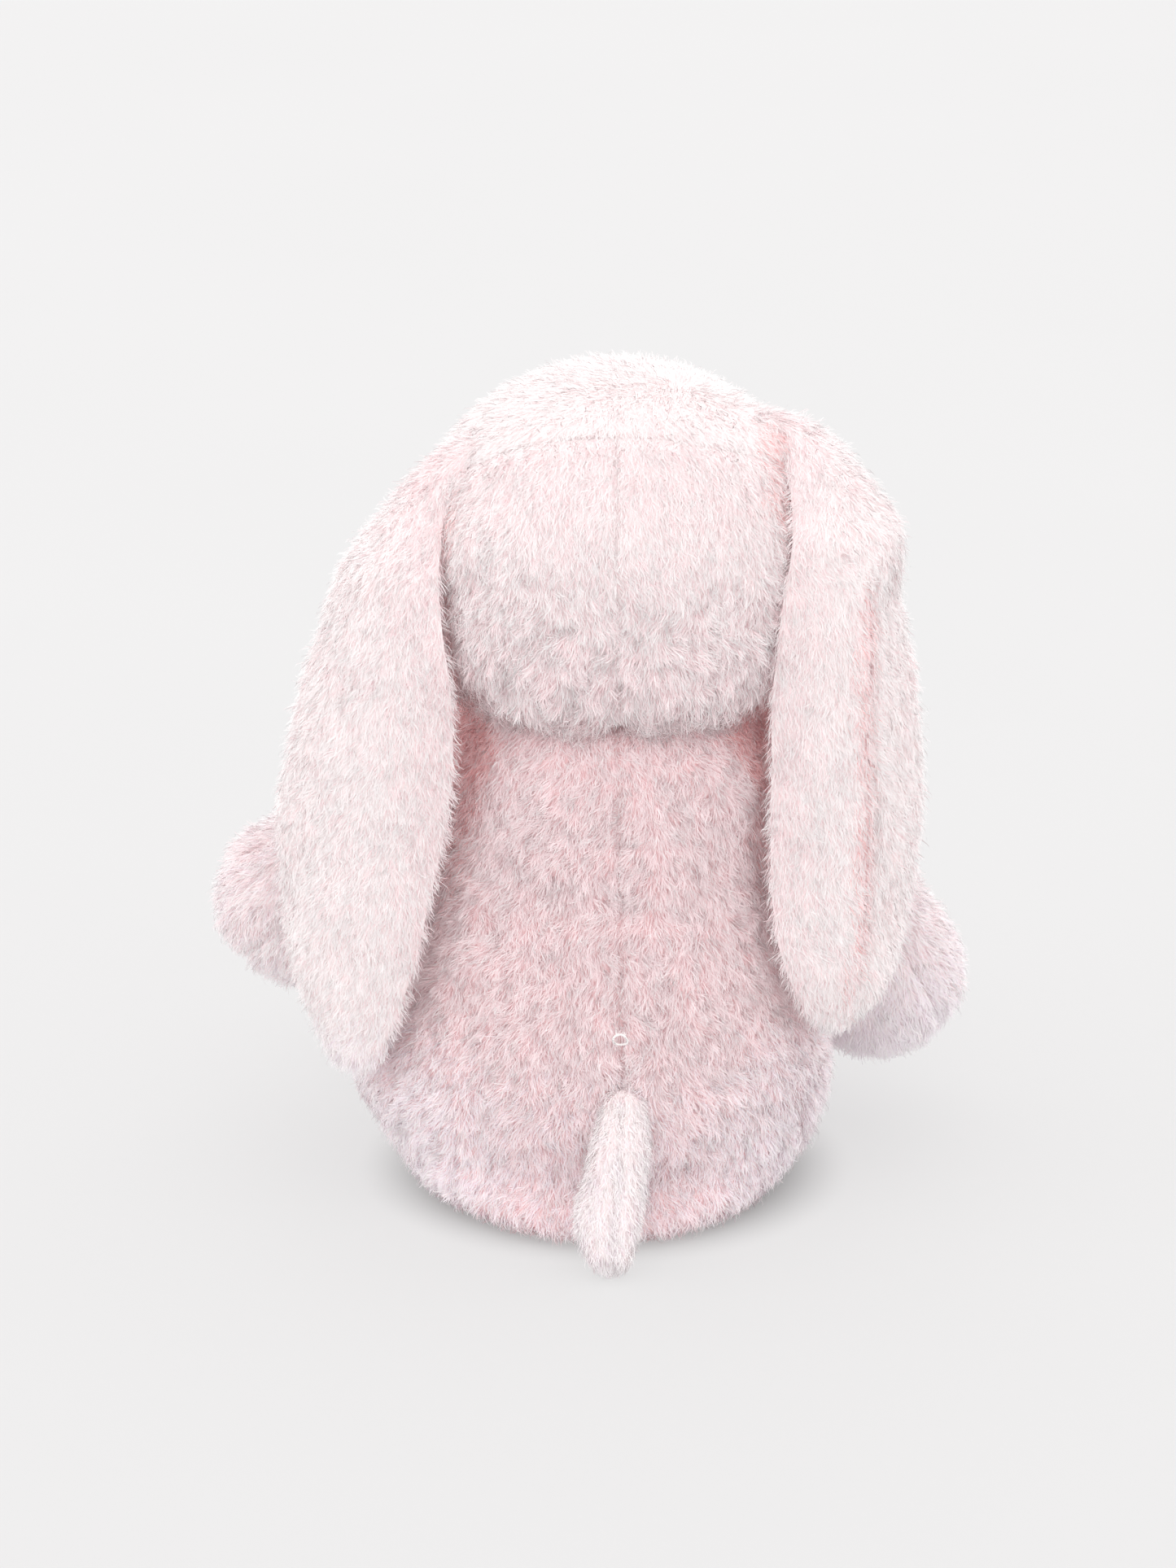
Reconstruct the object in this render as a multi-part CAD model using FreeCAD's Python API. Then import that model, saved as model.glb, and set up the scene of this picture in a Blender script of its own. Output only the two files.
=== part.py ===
"""Sitting plush rabbit with long lop ears, in millimetres.

It faces -Y, +Z is up, and the origin lies on the floor under the middle of its flat seat.
Every sewn panel is a shell as thick as its backing and flattened pile, with the stuffing as a solid inside.
Panels meet face to face at the seams.  Ears, arms, legs, tail and head turn on their sewn roots.
"""
import FreeCAD, Part
import math
import os

V = FreeCAD.Vector

# ---- fabric
PANEL = 5.0          # backing cloth with its pile pressed flat
ROOM = 1.5           # gap between a limb's root and the pocket it turns in
EASE = 0.05          # between stuffing and the panels round it

# ---- torso, a pear turned about Z and then flattened front to back
SEAT_R = 82.0        # half-width of the flat seat
HIP_R, HIP_Z = 108.0, 52.0
WAIST_R, WAIST_Z = 91.0, 139.0
SHOULDER_R, SHOULDER_Z = 80.0, 205.0
COLLAR_R, COLLAR_Z = 62.0, 225.0
SEAT_CURVE_OUT, SEAT_CURVE_UP = 8.0, 0.4      # how full the side is between seat and hip
COLLAR_CURVE_OUT, COLLAR_CURVE_DOWN = 2.0, 5.0  # and between shoulder and collar
DEPTH_SHARE = 0.87   # torso depth over its width
SIDE_SEAM_DEG = 12.0 # the side seams lie this far in front of the widest point

# ---- neck, a ball of stuffing that the head turns on
NECK_AT = V(0, 0, 226)
NECK_R = 36.0

# ---- head, a spheroid turned about a left-right axis
HEAD_AT = V(-5, -5, 314)
HEAD_HALF_WIDTH, HEAD_R = 92.0, 85.0
CROWN_SEAM_DEG = 53.0   # from straight back, upwards, to the seam from ear to ear
BROW_SEAM_DEG = 150.0   # the crown panel ends here, above the face
CHIN_DEG = 270.0
MUZZLE_AT = HEAD_AT + V(0, -67, -18)
MUZZLE_SEMI = (50.0, 34.0, 36.0)

# ---- eyes: plastic domes on a shank, each held by a washer
EYE_SIDE, EYE_UP = 41.0, 15.0
EYE_R, SHANK_R, SHANK_LENGTH = 8.5, 2.4, 15.0
EYE_SUNK = 0.25      # share of the dome's radius that its centre lies behind the face
SHANK_IN_DOME = 3.0
WASHER_R, WASHER_THICK, WASHER_DEPTH = 9.0, 1.5, 6.2
SLIP = 0.1           # around a shank

# ---- nose and mouth, measured from the foremost point of the muzzle
NOSE_AT, NOSE_SEMI = V(0, 5, 15), (12.0, 6.5, 7.5)
MOUTH_CORD_R = 1.3
MOUTH_TOP, MOUTH_PARTING, MOUTH_CORNER = V(0, 1.0, 9), V(0, -0.6, 4), V(13, 2.2, -7)

# ---- ears: (height, inner edge x, y, outer edge x, y), from root to tip
EAR_LEFT = [
    (343, 79, 29, 88, 3), (318, 80, 49, 108, 9), (290, 76, 57, 123, 14), (255, 74, 59, 135, 20),
    (215, 74, 60, 144, 26), (170, 79, 61, 148, 30), (125, 88, 63, 144, 36), (85, 99, 62, 134, 43),
    (58, 113, 57, 124, 51),
]
EAR_RIGHT = [
    (350, -87, 29, -99, 3), (327, -86, 49, -123, 9), (290, -79, 57, -135, 15), (255, -75, 59, -140, 21),
    (215, -73, 60, -144, 26), (170, -74, 63, -144, 30), (130, -80, 67, -139, 37), (95, -91, 65, -124, 45),
    (72, -102, 60, -112, 54),
]
EAR_BULGE = 0.16     # how far an ear bows outwards, over its width
EAR_PANEL_MID, EAR_PANEL_EDGE = 6.0, 2.5
EAR_STEPS = 3        # straight-sided bands between two rows
EAR_ROLL_LENGTH = 34.0
# rolled seam allowance that each ear hangs from: its middle, the way it lies, and its radius
EAR_ROLLS = {
    "left": (V(81.8, 15.9, 344.3), V(0.27, -0.963, 0), 5.0),
    "right": (V(-90.5, 16.4, 351.5), V(-0.27, -0.963, 0), 6.5),
}

# ---- limbs: where each turns, where its far ball is, and three radii
ARM_ROOT_R, ARM_MID_R = 22.0, 27.0
ARM_SPLIT_DEG = {"left": -45.0, "right": 225.0}  # start of the outer half, round the arm from +Y over +Z
ARMS = {
    "left": (V(77, -16, 190), V(143, -40, 124), 37.0),
    "right": (V(-80, -24, 184), V(-129, -64, 78), 36.5),
}
# The right leg and foot.  The left ones are their mirror image.
LEG_ROOT_R, LEG_MID_R, ANKLE_R = 37.0, 34.0, 32.0
LEG_HIP, LEG_ANKLE = V(-62, -80, 38.5), V(-72, -151, 36)
LEG_POCKET_R = 40.5  # leaves room for the thigh to swing up
HEEL_AT, TOES_AT, FOOT_RADII = V(-75, -163, 34), V(-75, -165, 60), (33.0, 35.0, 33.0)
SOLE_Y, SOLE_THICK, SOLE_SEMI = -189.0, 3.0, (21.0, 31.0)
TAIL_ROOT_R, TAIL_MID_R, TAIL_TIP_R = 12.0, 16.5, 9.0
TAIL_FROM, TAIL_TO = V(0, 89, 73), V(3, 130, 10.5)

# ---- seat weight
POUCH_R, POUCH_LOW, POUCH_HIGH, POUCH_CLOTH = 58.0, 8.0, 34.0, 1.2

# ---- thread of the seam that closes the back
CLOSING_LOW, CLOSING_HIGH, CLOSING_STEP = 104.0, 184.0, 8.0
THREAD_R, STITCH_SIDE, THREAD_LIFT = 0.5, 2.5, 0.8
LOOP_R = 4.0

parts = {}


def line(a, b):
    return Part.LineSegment(a, b).toShape()


def arc(a, b, c):
    return Part.Arc(a, b, c).toShape()


def turned(edges, at, axis, degrees):
    """The closed outline's face, turned about an axis."""
    face = Part.Face(Part.Wire(Part.__sortEdges__(edges)))
    return face.revolve(at, axis, degrees)


def stretched(shape, x=1.0, y=1.0, z=1.0):
    m = FreeCAD.Matrix()
    m.scale(x, y, z)
    return shape.transformGeometry(m)


def ellipsoid(at, semi):
    ball = stretched(Part.makeSphere(1.0, V(0, 0, 0), V(1, 0, 0)), *semi)
    ball.translate(at)
    return ball


# ---------------------------------------------------------------- torso

def torso_side(inset):
    """Edges of the torso's outline from seat to collar, moved in by inset."""
    low = V(SEAT_R - inset, 0, inset)
    hip = V(HIP_R - inset, 0, HIP_Z)
    shoulder = V(SHOULDER_R - inset, 0, SHOULDER_Z - inset / 2)
    collar = V(COLLAR_R, 0, COLLAR_Z - inset)
    seat_middle = (SEAT_R + HIP_R) / 2 + SEAT_CURVE_OUT
    collar_middle = (SHOULDER_R + COLLAR_R) / 2 + COLLAR_CURVE_OUT
    seat_turn = V(seat_middle - inset, 0, HIP_Z * SEAT_CURVE_UP + inset / 3)
    collar_turn = V(collar_middle - inset / 2, 0, COLLAR_Z - COLLAR_CURVE_DOWN - inset)
    return low, collar, [
        arc(low, seat_turn, hip),
        arc(hip, V(WAIST_R - inset, 0, WAIST_Z), shoulder),
        arc(shoulder, collar_turn, collar),
    ]


def flattened(shape):
    return stretched(shape, y=DEPTH_SHARE)


def torso_panel(start, end):
    """The part of the torso's shell between two angles about Z, 0 at its left side and 90 at its back."""
    low, collar, outer = torso_side(0)
    inner_low, inner_collar, inner = torso_side(PANEL)
    foot = V(inner_low.x, 0, 0)
    edges = outer + [line(collar, inner_collar)] + inner + [line(inner_low, foot), line(foot, low)]
    shell = turned(edges, V(0, 0, 0), V(0, 0, 1), end - start)
    shell.rotate(V(0, 0, 0), V(0, 0, 1), start)
    return flattened(shell)


def torso_solid(inset):
    low, collar, side = torso_side(inset)
    top, middle_low = V(0, 0, COLLAR_Z), V(0, 0, low.z)
    rim = V(collar.x, 0, COLLAR_Z)
    edges = side + [line(rim, top), line(top, middle_low), line(middle_low, low)]
    if inset:
        edges.append(line(collar, rim))
    return flattened(turned(edges, V(0, 0, 0), V(0, 0, 1), 360))


# ---------------------------------------------------------------- limbs

def limb_side(length, radii, inset):
    """Outline of a limb lying along +X from its root ball to its end ball."""
    root, mid, end = (r - inset for r in radii)
    half = math.sqrt(0.5)
    start, finish = V(-root, 0, 0), V(length + end, 0, 0)
    return start, finish, [
        arc(start, V(-root * half, root * half, 0), V(0, root, 0)),
        arc(V(0, root, 0), V(length / 2, mid, 0), V(length, end, 0)),
        arc(V(length, end, 0), V(length + end * half, end * half, 0), finish),
    ]


def aimed(shape, begin, finish):
    """A limb made along +X, placed from begin to finish with its split plane upright."""
    d = finish - begin
    heading = math.degrees(math.atan2(d.y, d.x))
    dip = math.degrees(math.atan2(-d.z, math.hypot(d.x, d.y)))
    shape.rotate(V(0, 0, 0), V(0, 1, 0), dip)
    shape.rotate(V(0, 0, 0), V(0, 0, 1), heading)
    shape.translate(begin)
    return shape


def limb_solid(begin, finish, radii, inset=0.0):
    length = (finish - begin).Length
    start, end, side = limb_side(length, radii, inset)
    return aimed(turned(side + [line(end, start)], V(0, 0, 0), V(1, 0, 0), 360), begin, finish)


def limb_panel(begin, finish, radii, start_deg):
    """Half of a limb's shell, from start_deg round its axis."""
    length = (finish - begin).Length
    a, b, outer = limb_side(length, radii, 0)
    c, d, inner = limb_side(length, radii, PANEL)
    half = turned(outer + inner + [line(a, c), line(d, b)], V(0, 0, 0), V(1, 0, 0), 180)
    half.rotate(V(0, 0, 0), V(1, 0, 0), start_deg)
    return aimed(half, begin, finish)


def grown(radii):
    return tuple(r + ROOM for r in radii)


def mirrored_x(v, side):
    return v if side == "left" else V(-v.x, v.y, v.z)


def make_arm(side):
    begin, finish, paw_r = ARMS[side]
    radii = (ARM_ROOT_R, ARM_MID_R, paw_r)
    split = ARM_SPLIT_DEG[side]
    parts[f"arm_{side}_outer_panel"] = limb_panel(begin, finish, radii, split)
    parts[f"arm_{side}_inner_panel"] = limb_panel(begin, finish, radii, split + 180)
    parts[f"arm_{side}_stuffing"] = limb_solid(begin, finish, radii, PANEL + EASE)
    return limb_solid(begin, finish, grown(radii))


def leg_form(inset):
    """The right leg: a thigh lying forward, a foot standing up at its end, and a flat sole."""
    thigh = limb_solid(LEG_HIP, LEG_ANKLE, (LEG_ROOT_R, LEG_MID_R, ANKLE_R), inset)
    foot = limb_solid(HEEL_AT, TOES_AT, FOOT_RADII, inset)
    beyond = Part.makeBox(400, 200, 400, V(-200, SOLE_Y + inset - 200, -200))
    return thigh.fuse(foot).cut(beyond)


def make_legs():
    """The right leg's pieces, and the left leg's as their mirror image."""
    shell = leg_form(0.0).cut(leg_form(PANEL))
    foot = (HEEL_AT + TOES_AT) * 0.5
    # The leg's seams follow its own heading, so the dividing block is turned to it.
    divide = Part.makeBox(200, 400, 400, V(-200, -300, -200))
    heading = math.degrees(math.atan2(foot.x - LEG_HIP.x, LEG_HIP.y - foot.y))
    divide.rotate(V(0, 0, 0), V(0, 0, 1), heading)
    divide.translate(V(LEG_HIP.x, LEG_HIP.y, 0))
    pad = Part.makeCylinder(1.0, SOLE_THICK, V(0, 0, 0), V(0, -1, 0))
    pad = stretched(pad, x=SOLE_SEMI[0], z=SOLE_SEMI[1])
    pad.translate(V(foot.x, SOLE_Y, foot.z))
    pieces = {
        "leg_{}_outer_panel": shell.common(divide),
        "leg_{}_inner_panel": shell.cut(divide),
        "leg_{}_stuffing": leg_form(PANEL + EASE),
        "foot_{}_sole_pad": pad,
    }
    for name, shape in pieces.items():
        parts[name.format("right")] = shape
        parts[name.format("left")] = shape.mirror(V(0, 0, 0), V(1, 0, 0))
    pocket = Part.makeSphere(LEG_POCKET_R, LEG_HIP)
    return [pocket, pocket.mirror(V(0, 0, 0), V(1, 0, 0))]


def make_tail():
    radii = (TAIL_ROOT_R, TAIL_MID_R, TAIL_TIP_R)
    parts["tail_upper_panel"] = limb_panel(TAIL_FROM, TAIL_TO, radii, -90)
    parts["tail_lower_panel"] = limb_panel(TAIL_FROM, TAIL_TO, radii, 90)
    parts["tail_stuffing"] = limb_solid(TAIL_FROM, TAIL_TO, radii, PANEL + EASE)
    return limb_solid(TAIL_FROM, TAIL_TO, grown(radii))


def make_torso(pockets):
    side = -SIDE_SEAM_DEG
    panels = {
        "torso_back_left_panel": (side, 90),
        "torso_back_right_panel": (90, 180 - side),
        "torso_front_right_panel": (180 - side, 270),
        "torso_front_left_panel": (270, 360 + side),
    }
    for name, (start, end) in panels.items():
        parts[name] = torso_panel(start, end).cut(pockets)
    # The seat is cut from a deeper disc, so that its faces are true planes.
    deep = flattened(Part.makeCylinder(SEAT_R - PANEL, 3 * PANEL, V(0, 0, -PANEL)))
    parts["seat_base_panel"] = deep.common(Part.makeBox(400, 400, PANEL, V(-200, -200, 0)))
    pouch = stretched(Part.makeCylinder(POUCH_R, POUCH_HIGH - POUCH_LOW), y=DEPTH_SHARE)
    pouch.translate(V(0, 0, POUCH_LOW))
    fill = stretched(
        Part.makeCylinder(POUCH_R - POUCH_CLOTH, POUCH_HIGH - POUCH_LOW - 2 * POUCH_CLOTH), y=DEPTH_SHARE
    )
    fill.translate(V(0, 0, POUCH_LOW + POUCH_CLOTH))
    pouch, fill = pouch.cut(pockets), fill.cut(pockets)
    parts["pellet_pouch"] = pouch.cut(fill)
    parts["pellets"] = fill
    neck = Part.makeSphere(NECK_R, NECK_AT)
    parts["torso_stuffing"] = torso_solid(PANEL + EASE).fuse(neck).cut(pockets).cut(pouch)


def make_closing_seam():
    """The zigzag of thread up the middle of the back, and the loop its lower end is tied in."""
    body = torso_solid(0)
    steps = int((CLOSING_HIGH - CLOSING_LOW) / CLOSING_STEP)
    points = []
    for n in range(steps + 1):
        z = CLOSING_LOW + CLOSING_STEP * n
        back = line(V(0, 0, z), V(0, 200, z)).common(body).BoundBox.YMax
        points.append(V(STITCH_SIDE if n % 2 else -STITCH_SIDE, back + THREAD_LIFT, z))
    runs = [Part.makeSphere(THREAD_R, p) for p in points]
    for a, b in zip(points, points[1:]):
        runs.append(Part.makeCylinder(THREAD_R, (b - a).Length, a, b - a))
    loop_at = points[0] + V(0, LOOP_R * 0.3, -LOOP_R * 0.95)
    runs.append(Part.makeTorus(LOOP_R, THREAD_R, loop_at, V(0, 1, 0.3)))
    parts["closing_seam_thread"] = runs[0].fuse(runs[1:]).cut(body)


# ---------------------------------------------------------------- head

def widened(shape):
    """A shape made round the head's middle with round sections, widened and set in place."""
    wide = stretched(shape, x=HEAD_HALF_WIDTH / HEAD_R)
    wide.translate(HEAD_AT)
    return wide


def head_solid(inset):
    return widened(Part.makeSphere(HEAD_R - inset))


def head_panel(start, end, side=None):
    """The part of the head's shell between two angles about its left-right axis, 0 straight back and 90 up.

    A side keeps only the left or the right half of it.
    """
    low = 0 if side == "left" else -90
    high = 0 if side == "right" else 90
    wedge = Part.makeSphere(HEAD_R, V(0, 0, 0), V(0, 0, 1), low, high, end - start)
    wedge = wedge.cut(Part.makeSphere(HEAD_R - PANEL))
    wedge.rotate(V(0, 0, 0), V(0, 1, 0), 90)
    wedge.rotate(V(0, 0, 0), V(1, 0, 0), start + 90)
    return widened(wedge)


def eye_place(side):
    """Where an eye's middle meets the face, and the way it looks."""
    x = EYE_SIDE if side == "left" else -EYE_SIDE
    reach = math.sqrt(HEAD_R ** 2 * (1 - (x / HEAD_HALF_WIDTH) ** 2) - EYE_UP ** 2)
    look = V(x / HEAD_HALF_WIDTH ** 2, -reach / HEAD_R ** 2, EYE_UP / HEAD_R ** 2)
    look.normalize()
    return HEAD_AT + V(x, -reach, EYE_UP), look


def make_eye(side, head):
    at, look = eye_place(side)
    top = at + look * SHANK_IN_DOME
    dome = Part.makeSphere(EYE_R, at - look * (EYE_R * EYE_SUNK)).cut(head)
    shank = Part.makeCylinder(SHANK_R, SHANK_LENGTH + SHANK_IN_DOME, top, look * -1)
    parts[f"eye_{side}"] = dome.fuse(shank).removeSplitter()
    washer = Part.makeCylinder(WASHER_R, WASHER_THICK, at - look * WASHER_DEPTH, look * -1)
    hole = Part.makeCylinder(SHANK_R + SLIP, SHANK_LENGTH + 2 * SHANK_IN_DOME, top, look * -1)
    parts[f"eye_{side}_washer"] = washer.cut(hole)
    return hole, washer


def make_head():
    head, inner = head_solid(0), head_solid(PANEL)
    socket = Part.makeSphere(NECK_R + ROOM, NECK_AT)
    holes, washers = zip(*(make_eye(side, head) for side in ("left", "right")))
    muzzle = ellipsoid(MUZZLE_AT, MUZZLE_SEMI)
    muzzle_inner = ellipsoid(MUZZLE_AT, tuple(s - PANEL for s in MUZZLE_SEMI))
    panels = {
        "head_back_left_panel": (-90, CROWN_SEAM_DEG, "left"),
        "head_back_right_panel": (-90, CROWN_SEAM_DEG, "right"),
        "head_crown_panel": (CROWN_SEAM_DEG, BROW_SEAM_DEG, None),
        "head_cheek_left_panel": (BROW_SEAM_DEG, CHIN_DEG, "left"),
        "head_cheek_right_panel": (BROW_SEAM_DEG, CHIN_DEG, "right"),
    }
    for name, (start, end, side) in panels.items():
        shell = head_panel(start, end, side)
        if start < 0 or end == CHIN_DEG:
            shell = shell.cut(socket)
        if end == CHIN_DEG:
            shell = shell.cut(holes[0] if side == "left" else holes[1])
        parts[name] = shell
    shanks = [parts[f"eye_{side}"] for side in ("left", "right")]
    parts["head_stuffing"] = inner.cut(socket).cut(shanks).cut(list(washers))
    parts["muzzle_panel"] = muzzle.cut(muzzle_inner).cut(head)
    parts["muzzle_stuffing"] = muzzle_inner.cut(head)
    make_nose(muzzle)
    return head


def make_nose(muzzle):
    """A padded satin-stitch nose, and the mouth in three strokes of cord below it."""
    front = MUZZLE_AT - V(0, MUZZLE_SEMI[1], 0)
    nose = ellipsoid(front + NOSE_AT, NOSE_SEMI)
    parts["nose_embroidery"] = nose.cut(muzzle)
    top, parting = front + MOUTH_TOP, front + MOUTH_PARTING
    strokes = [Part.makeCylinder(MOUTH_CORD_R, (parting - top).Length, top, parting - top)]
    for side in ("left", "right"):
        d = front + mirrored_x(MOUTH_CORNER, side) - parting
        strokes.append(Part.makeCylinder(MOUTH_CORD_R, d.Length, parting, d))
    parts["mouth_embroidery"] = strokes[0].fuse(strokes[1:]).cut(muzzle).cut(nose)


# ---------------------------------------------------------------- ears

def between(a, b, c, d, t):
    """A smooth step from b to c, with a and d as the rows before and after."""
    square = 2 * a - 5 * b + 4 * c - d
    cube = 3 * b - a - 3 * c + d
    return 0.5 * (2 * b + (c - a) * t + square * t ** 2 + cube * t ** 3)


def filled_in(rows):
    """The ear's rows with EAR_STEPS bands in each gap."""
    last = len(rows) - 1
    full = []
    for n in range(last):
        near = [rows[max(n - 1, 0)], rows[n], rows[n + 1], rows[min(n + 2, last)]]
        for k in range(EAR_STEPS):
            full.append(tuple(between(*values, k / EAR_STEPS) for values in zip(*near)))
    full.append(rows[last])
    return full


def ear_curve(row, offset_edge, offset_mid):
    """An arc across the ear at one height, moved outwards by the offsets."""
    z, x0, y0, x1, y1 = row
    inner, outer = V(x0, y0, z), V(x1, y1, z)
    across = outer - inner
    away = V(-across.y, across.x, 0) if across.x > 0 else V(across.y, -across.x, 0)
    away.normalize()
    middle = (inner + outer) * 0.5 + away * (EAR_BULGE * across.Length + offset_mid)
    return inner + away * offset_edge, middle, outer + away * offset_edge


def ear_layer(rows, low, high):
    """One layer of an ear, between two offsets from its middle surface, given as (edge, mid)."""
    wires = []
    for row in rows:
        a, b, c = ear_curve(row, *low)
        d, e, f = ear_curve(row, *high)
        wires.append(Part.Wire([arc(a, b, c), line(c, f), arc(f, e, d), line(d, a)]))
    return Part.makeLoft(wires, True, True)


def make_ear(side, head):
    rows = filled_in(EAR_LEFT if side == "left" else EAR_RIGHT)
    at, along, radius = EAR_ROLLS[side]
    roll = Part.makeCylinder(radius, EAR_ROLL_LENGTH, at - along * (EAR_ROLL_LENGTH / 2), along)
    outer = ear_layer(rows, (0, 0), (EAR_PANEL_EDGE, EAR_PANEL_MID))
    lining = ear_layer(rows, (-EAR_PANEL_EDGE, -EAR_PANEL_MID), (0, 0))
    parts[f"ear_{side}_outer_panel"] = outer.cut(roll)
    parts[f"ear_{side}_lining"] = lining.cut(roll)
    parts[f"ear_{side}_root_seam"] = roll.cut(head)


# ---------------------------------------------------------------- everything

def main():
    pockets = [make_arm("left"), make_arm("right"), *make_legs(), make_tail()]
    make_torso(pockets)
    make_closing_seam()
    head = make_head()
    for side in ("left", "right"):
        make_ear(side, head)
    os.makedirs("parts", exist_ok=True)
    for name, shape in parts.items():
        solids = shape.Solids
        whole = solids[0] if len(solids) == 1 else Part.makeCompound(solids)
        whole.exportStep(f"parts/{name}.step")
        litres = whole.Volume / 1e6
        print(f"{name:28s} solids {len(solids)}  valid {whole.isValid()}  litres {litres:.4f}")


main()
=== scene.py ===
import math

import bpy
import numpy as np
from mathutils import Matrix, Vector


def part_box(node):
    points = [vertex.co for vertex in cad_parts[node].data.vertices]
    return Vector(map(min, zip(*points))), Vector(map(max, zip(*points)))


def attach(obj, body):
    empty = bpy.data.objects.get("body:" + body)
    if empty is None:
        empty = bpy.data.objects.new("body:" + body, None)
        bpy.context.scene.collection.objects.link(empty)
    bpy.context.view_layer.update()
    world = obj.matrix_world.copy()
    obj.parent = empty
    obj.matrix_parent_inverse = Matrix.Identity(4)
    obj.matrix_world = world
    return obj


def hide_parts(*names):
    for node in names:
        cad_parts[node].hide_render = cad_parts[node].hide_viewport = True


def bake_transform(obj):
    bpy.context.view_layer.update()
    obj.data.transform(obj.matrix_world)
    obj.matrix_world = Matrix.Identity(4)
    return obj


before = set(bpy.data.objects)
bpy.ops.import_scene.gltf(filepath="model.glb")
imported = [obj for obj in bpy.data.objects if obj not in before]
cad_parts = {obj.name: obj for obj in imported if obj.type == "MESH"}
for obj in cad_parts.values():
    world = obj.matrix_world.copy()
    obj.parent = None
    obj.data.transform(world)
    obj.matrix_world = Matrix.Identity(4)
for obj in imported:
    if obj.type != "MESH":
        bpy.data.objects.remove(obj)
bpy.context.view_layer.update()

MM = 0.001
SKIN_THICK = 1.6
PRESSURE, PUFF_FRAMES = 4.0, 20  # the cloth simulation's air pressure and its length
MOST_STRANDS = 39000  # on one pile piece
TUFT_SIZE, DRIFT_SIZE = 3.4, 15.0  # how far apart tufts are, and the wider swirls that they lie in
GROWTH = np.random.default_rng(2024)
LATTICE = np.random.default_rng(7).random((32, 32, 32, 3)) * 2 - 1

# ---- torso: height, half-width of the skin.  Depth is a share of it.
TORSO_SHAPE = [
    (0.6, 72), (4, 80), (12, 90), (28, 99.5), (52, 104), (80, 102), (110, 96.5), (139, 90), (165, 84.5),
    (190, 82), (208, 80.5), (221, 77), (231, 71), (238, 66), (244, 57),
]
TORSO_ROWS, ROUND = 60, 120
DEPTH_SHARE = 0.87
RUMP_OUT, RUMP_TOP = 0.42, 34.0  # how far and how high the seat swells out behind
SIDE_SEAM_DEG = -12.0
TORSO_SEAMS = (0, 34, 68, 94)  # columns: left side, back, right side, front
NECK_LEAN = -6.0  # the neck sits this far to the rabbit's right
RIGHT_HIP_IN, LEFT_HIP_OUT = 0.03, 0.13  # shares by which the right hip is narrower and the left one wider
BACK_SEAM_SHIFT = -6.5  # the back's middle seam wanders to the rabbit's right
SEAM_DEEP, SEAM_WIDE = 1.7, 3.5  # how the torso's seams are drawn in
# Creases of the back: start and end as x and z, depth, half-width and bow.
BACK_CREASES = [
    ((52, 166), (-46, 150), 4.0, 5.0, -5), ((-12, 118), (-58, 66), 3.6, 6.0, 4),
    ((60, 108), (14, 74), 2.4, 7.0, -4),
]
NECK = ("torso", "head", (0, 0, 0.192), (0, 0, 0.236))  # what the torso's skin lies across: two bodies and two heights, in metres

# ---- head
HEAD_AT = np.array([-5.0, -5.0, 314.0])
HEAD_SEMI = np.array([88.5, 81.5, 81.5])
NAPE_POWER = 3.7  # above 2, the lower head is fuller than a ball
CROWN_POWER = 2.06  # and the crown a little fuller
BACK_POWER = 2.35  # above 2, the back of the head is squarer than round, seen from above
EAR_CORNER, CORNER_PULL = (-74, 12, 364), 12.0  # where the right ear pulls the crown out, and how far
CROWN_LOW = 0.065  # share by which the top is flatter than a ball
HEAD_ROWS, HEAD_ROW_GAP = 61, 4.3  # rows from side to side, and how far apart they are
HEAD_SEAMS = (0, 48, 80)  # columns: nape, crown seam, brow seam, counted from straight down
MUZZLE_AT, MUZZLE_SEMI = np.array([-5.0, -72.0, 296.0]), np.array([49.6, 33.6, 35.6])
EYE_DOME = 8.5  # how far an eye's front stands off the middle of its dome
NOSE_HALF, NOSE_STITCHES = 11.4, 27
MOUTH_TOP, MOUTH_FORK = 9, 4  # heights over the muzzle's middle where its line starts and forks

# ---- ears: height, inner edge x and y, outer edge x and y
EAR_LEFT = [
    (370, 44, 20, 49, 6), (365, 54, 22, 59, 5), (356, 64, 26, 72, 2), (341, 72, 33, 88, 2),
    (324, 76, 44, 103, 6), (303, 76, 53, 119, 12), (280, 73, 57, 129, 16), (255, 70, 58, 137, 20),
    (215, 71, 60, 146, 26), (170, 78, 60, 150, 30), (125, 88, 62, 145, 36), (98, 97, 62, 137, 41),
    (81, 105, 60, 129, 46), (73, 111, 58, 123, 49),
]
EAR_RIGHT = [
    (376, -58, 14, -64, 6), (373, -66, 15, -80, 4), (366, -74, 18, -95, 0), (356, -81, 25, -110, 0),
    (343, -85, 36, -121, 4), (326, -86, 48, -132, 10), (303, -83, 54, -138, 14), (280, -79, 57, -142.5, 18),
    (255, -76, 58, -146, 21), (215, -75, 59, -150, 26), (170, -76, 62, -149, 30), (135, -81, 66, -143, 37),
    (112, -88, 65, -132, 43), (99, -96, 62, -119, 48), (94, -101, 60, -111, 52),
]
EAR_ROWS, EAR_ROUND = 72, 48
EAR_BULGE, EAR_THICK = 0.16, 5.0
# The right ear's lengthwise fold: where it runs, its share of the way across, its groove and its step.
EAR_FOLD_X, FOLD_AT, FOLD_DEEP, FOLD_BACK = -118.0, 0.58, 13.0, 12.0

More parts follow.
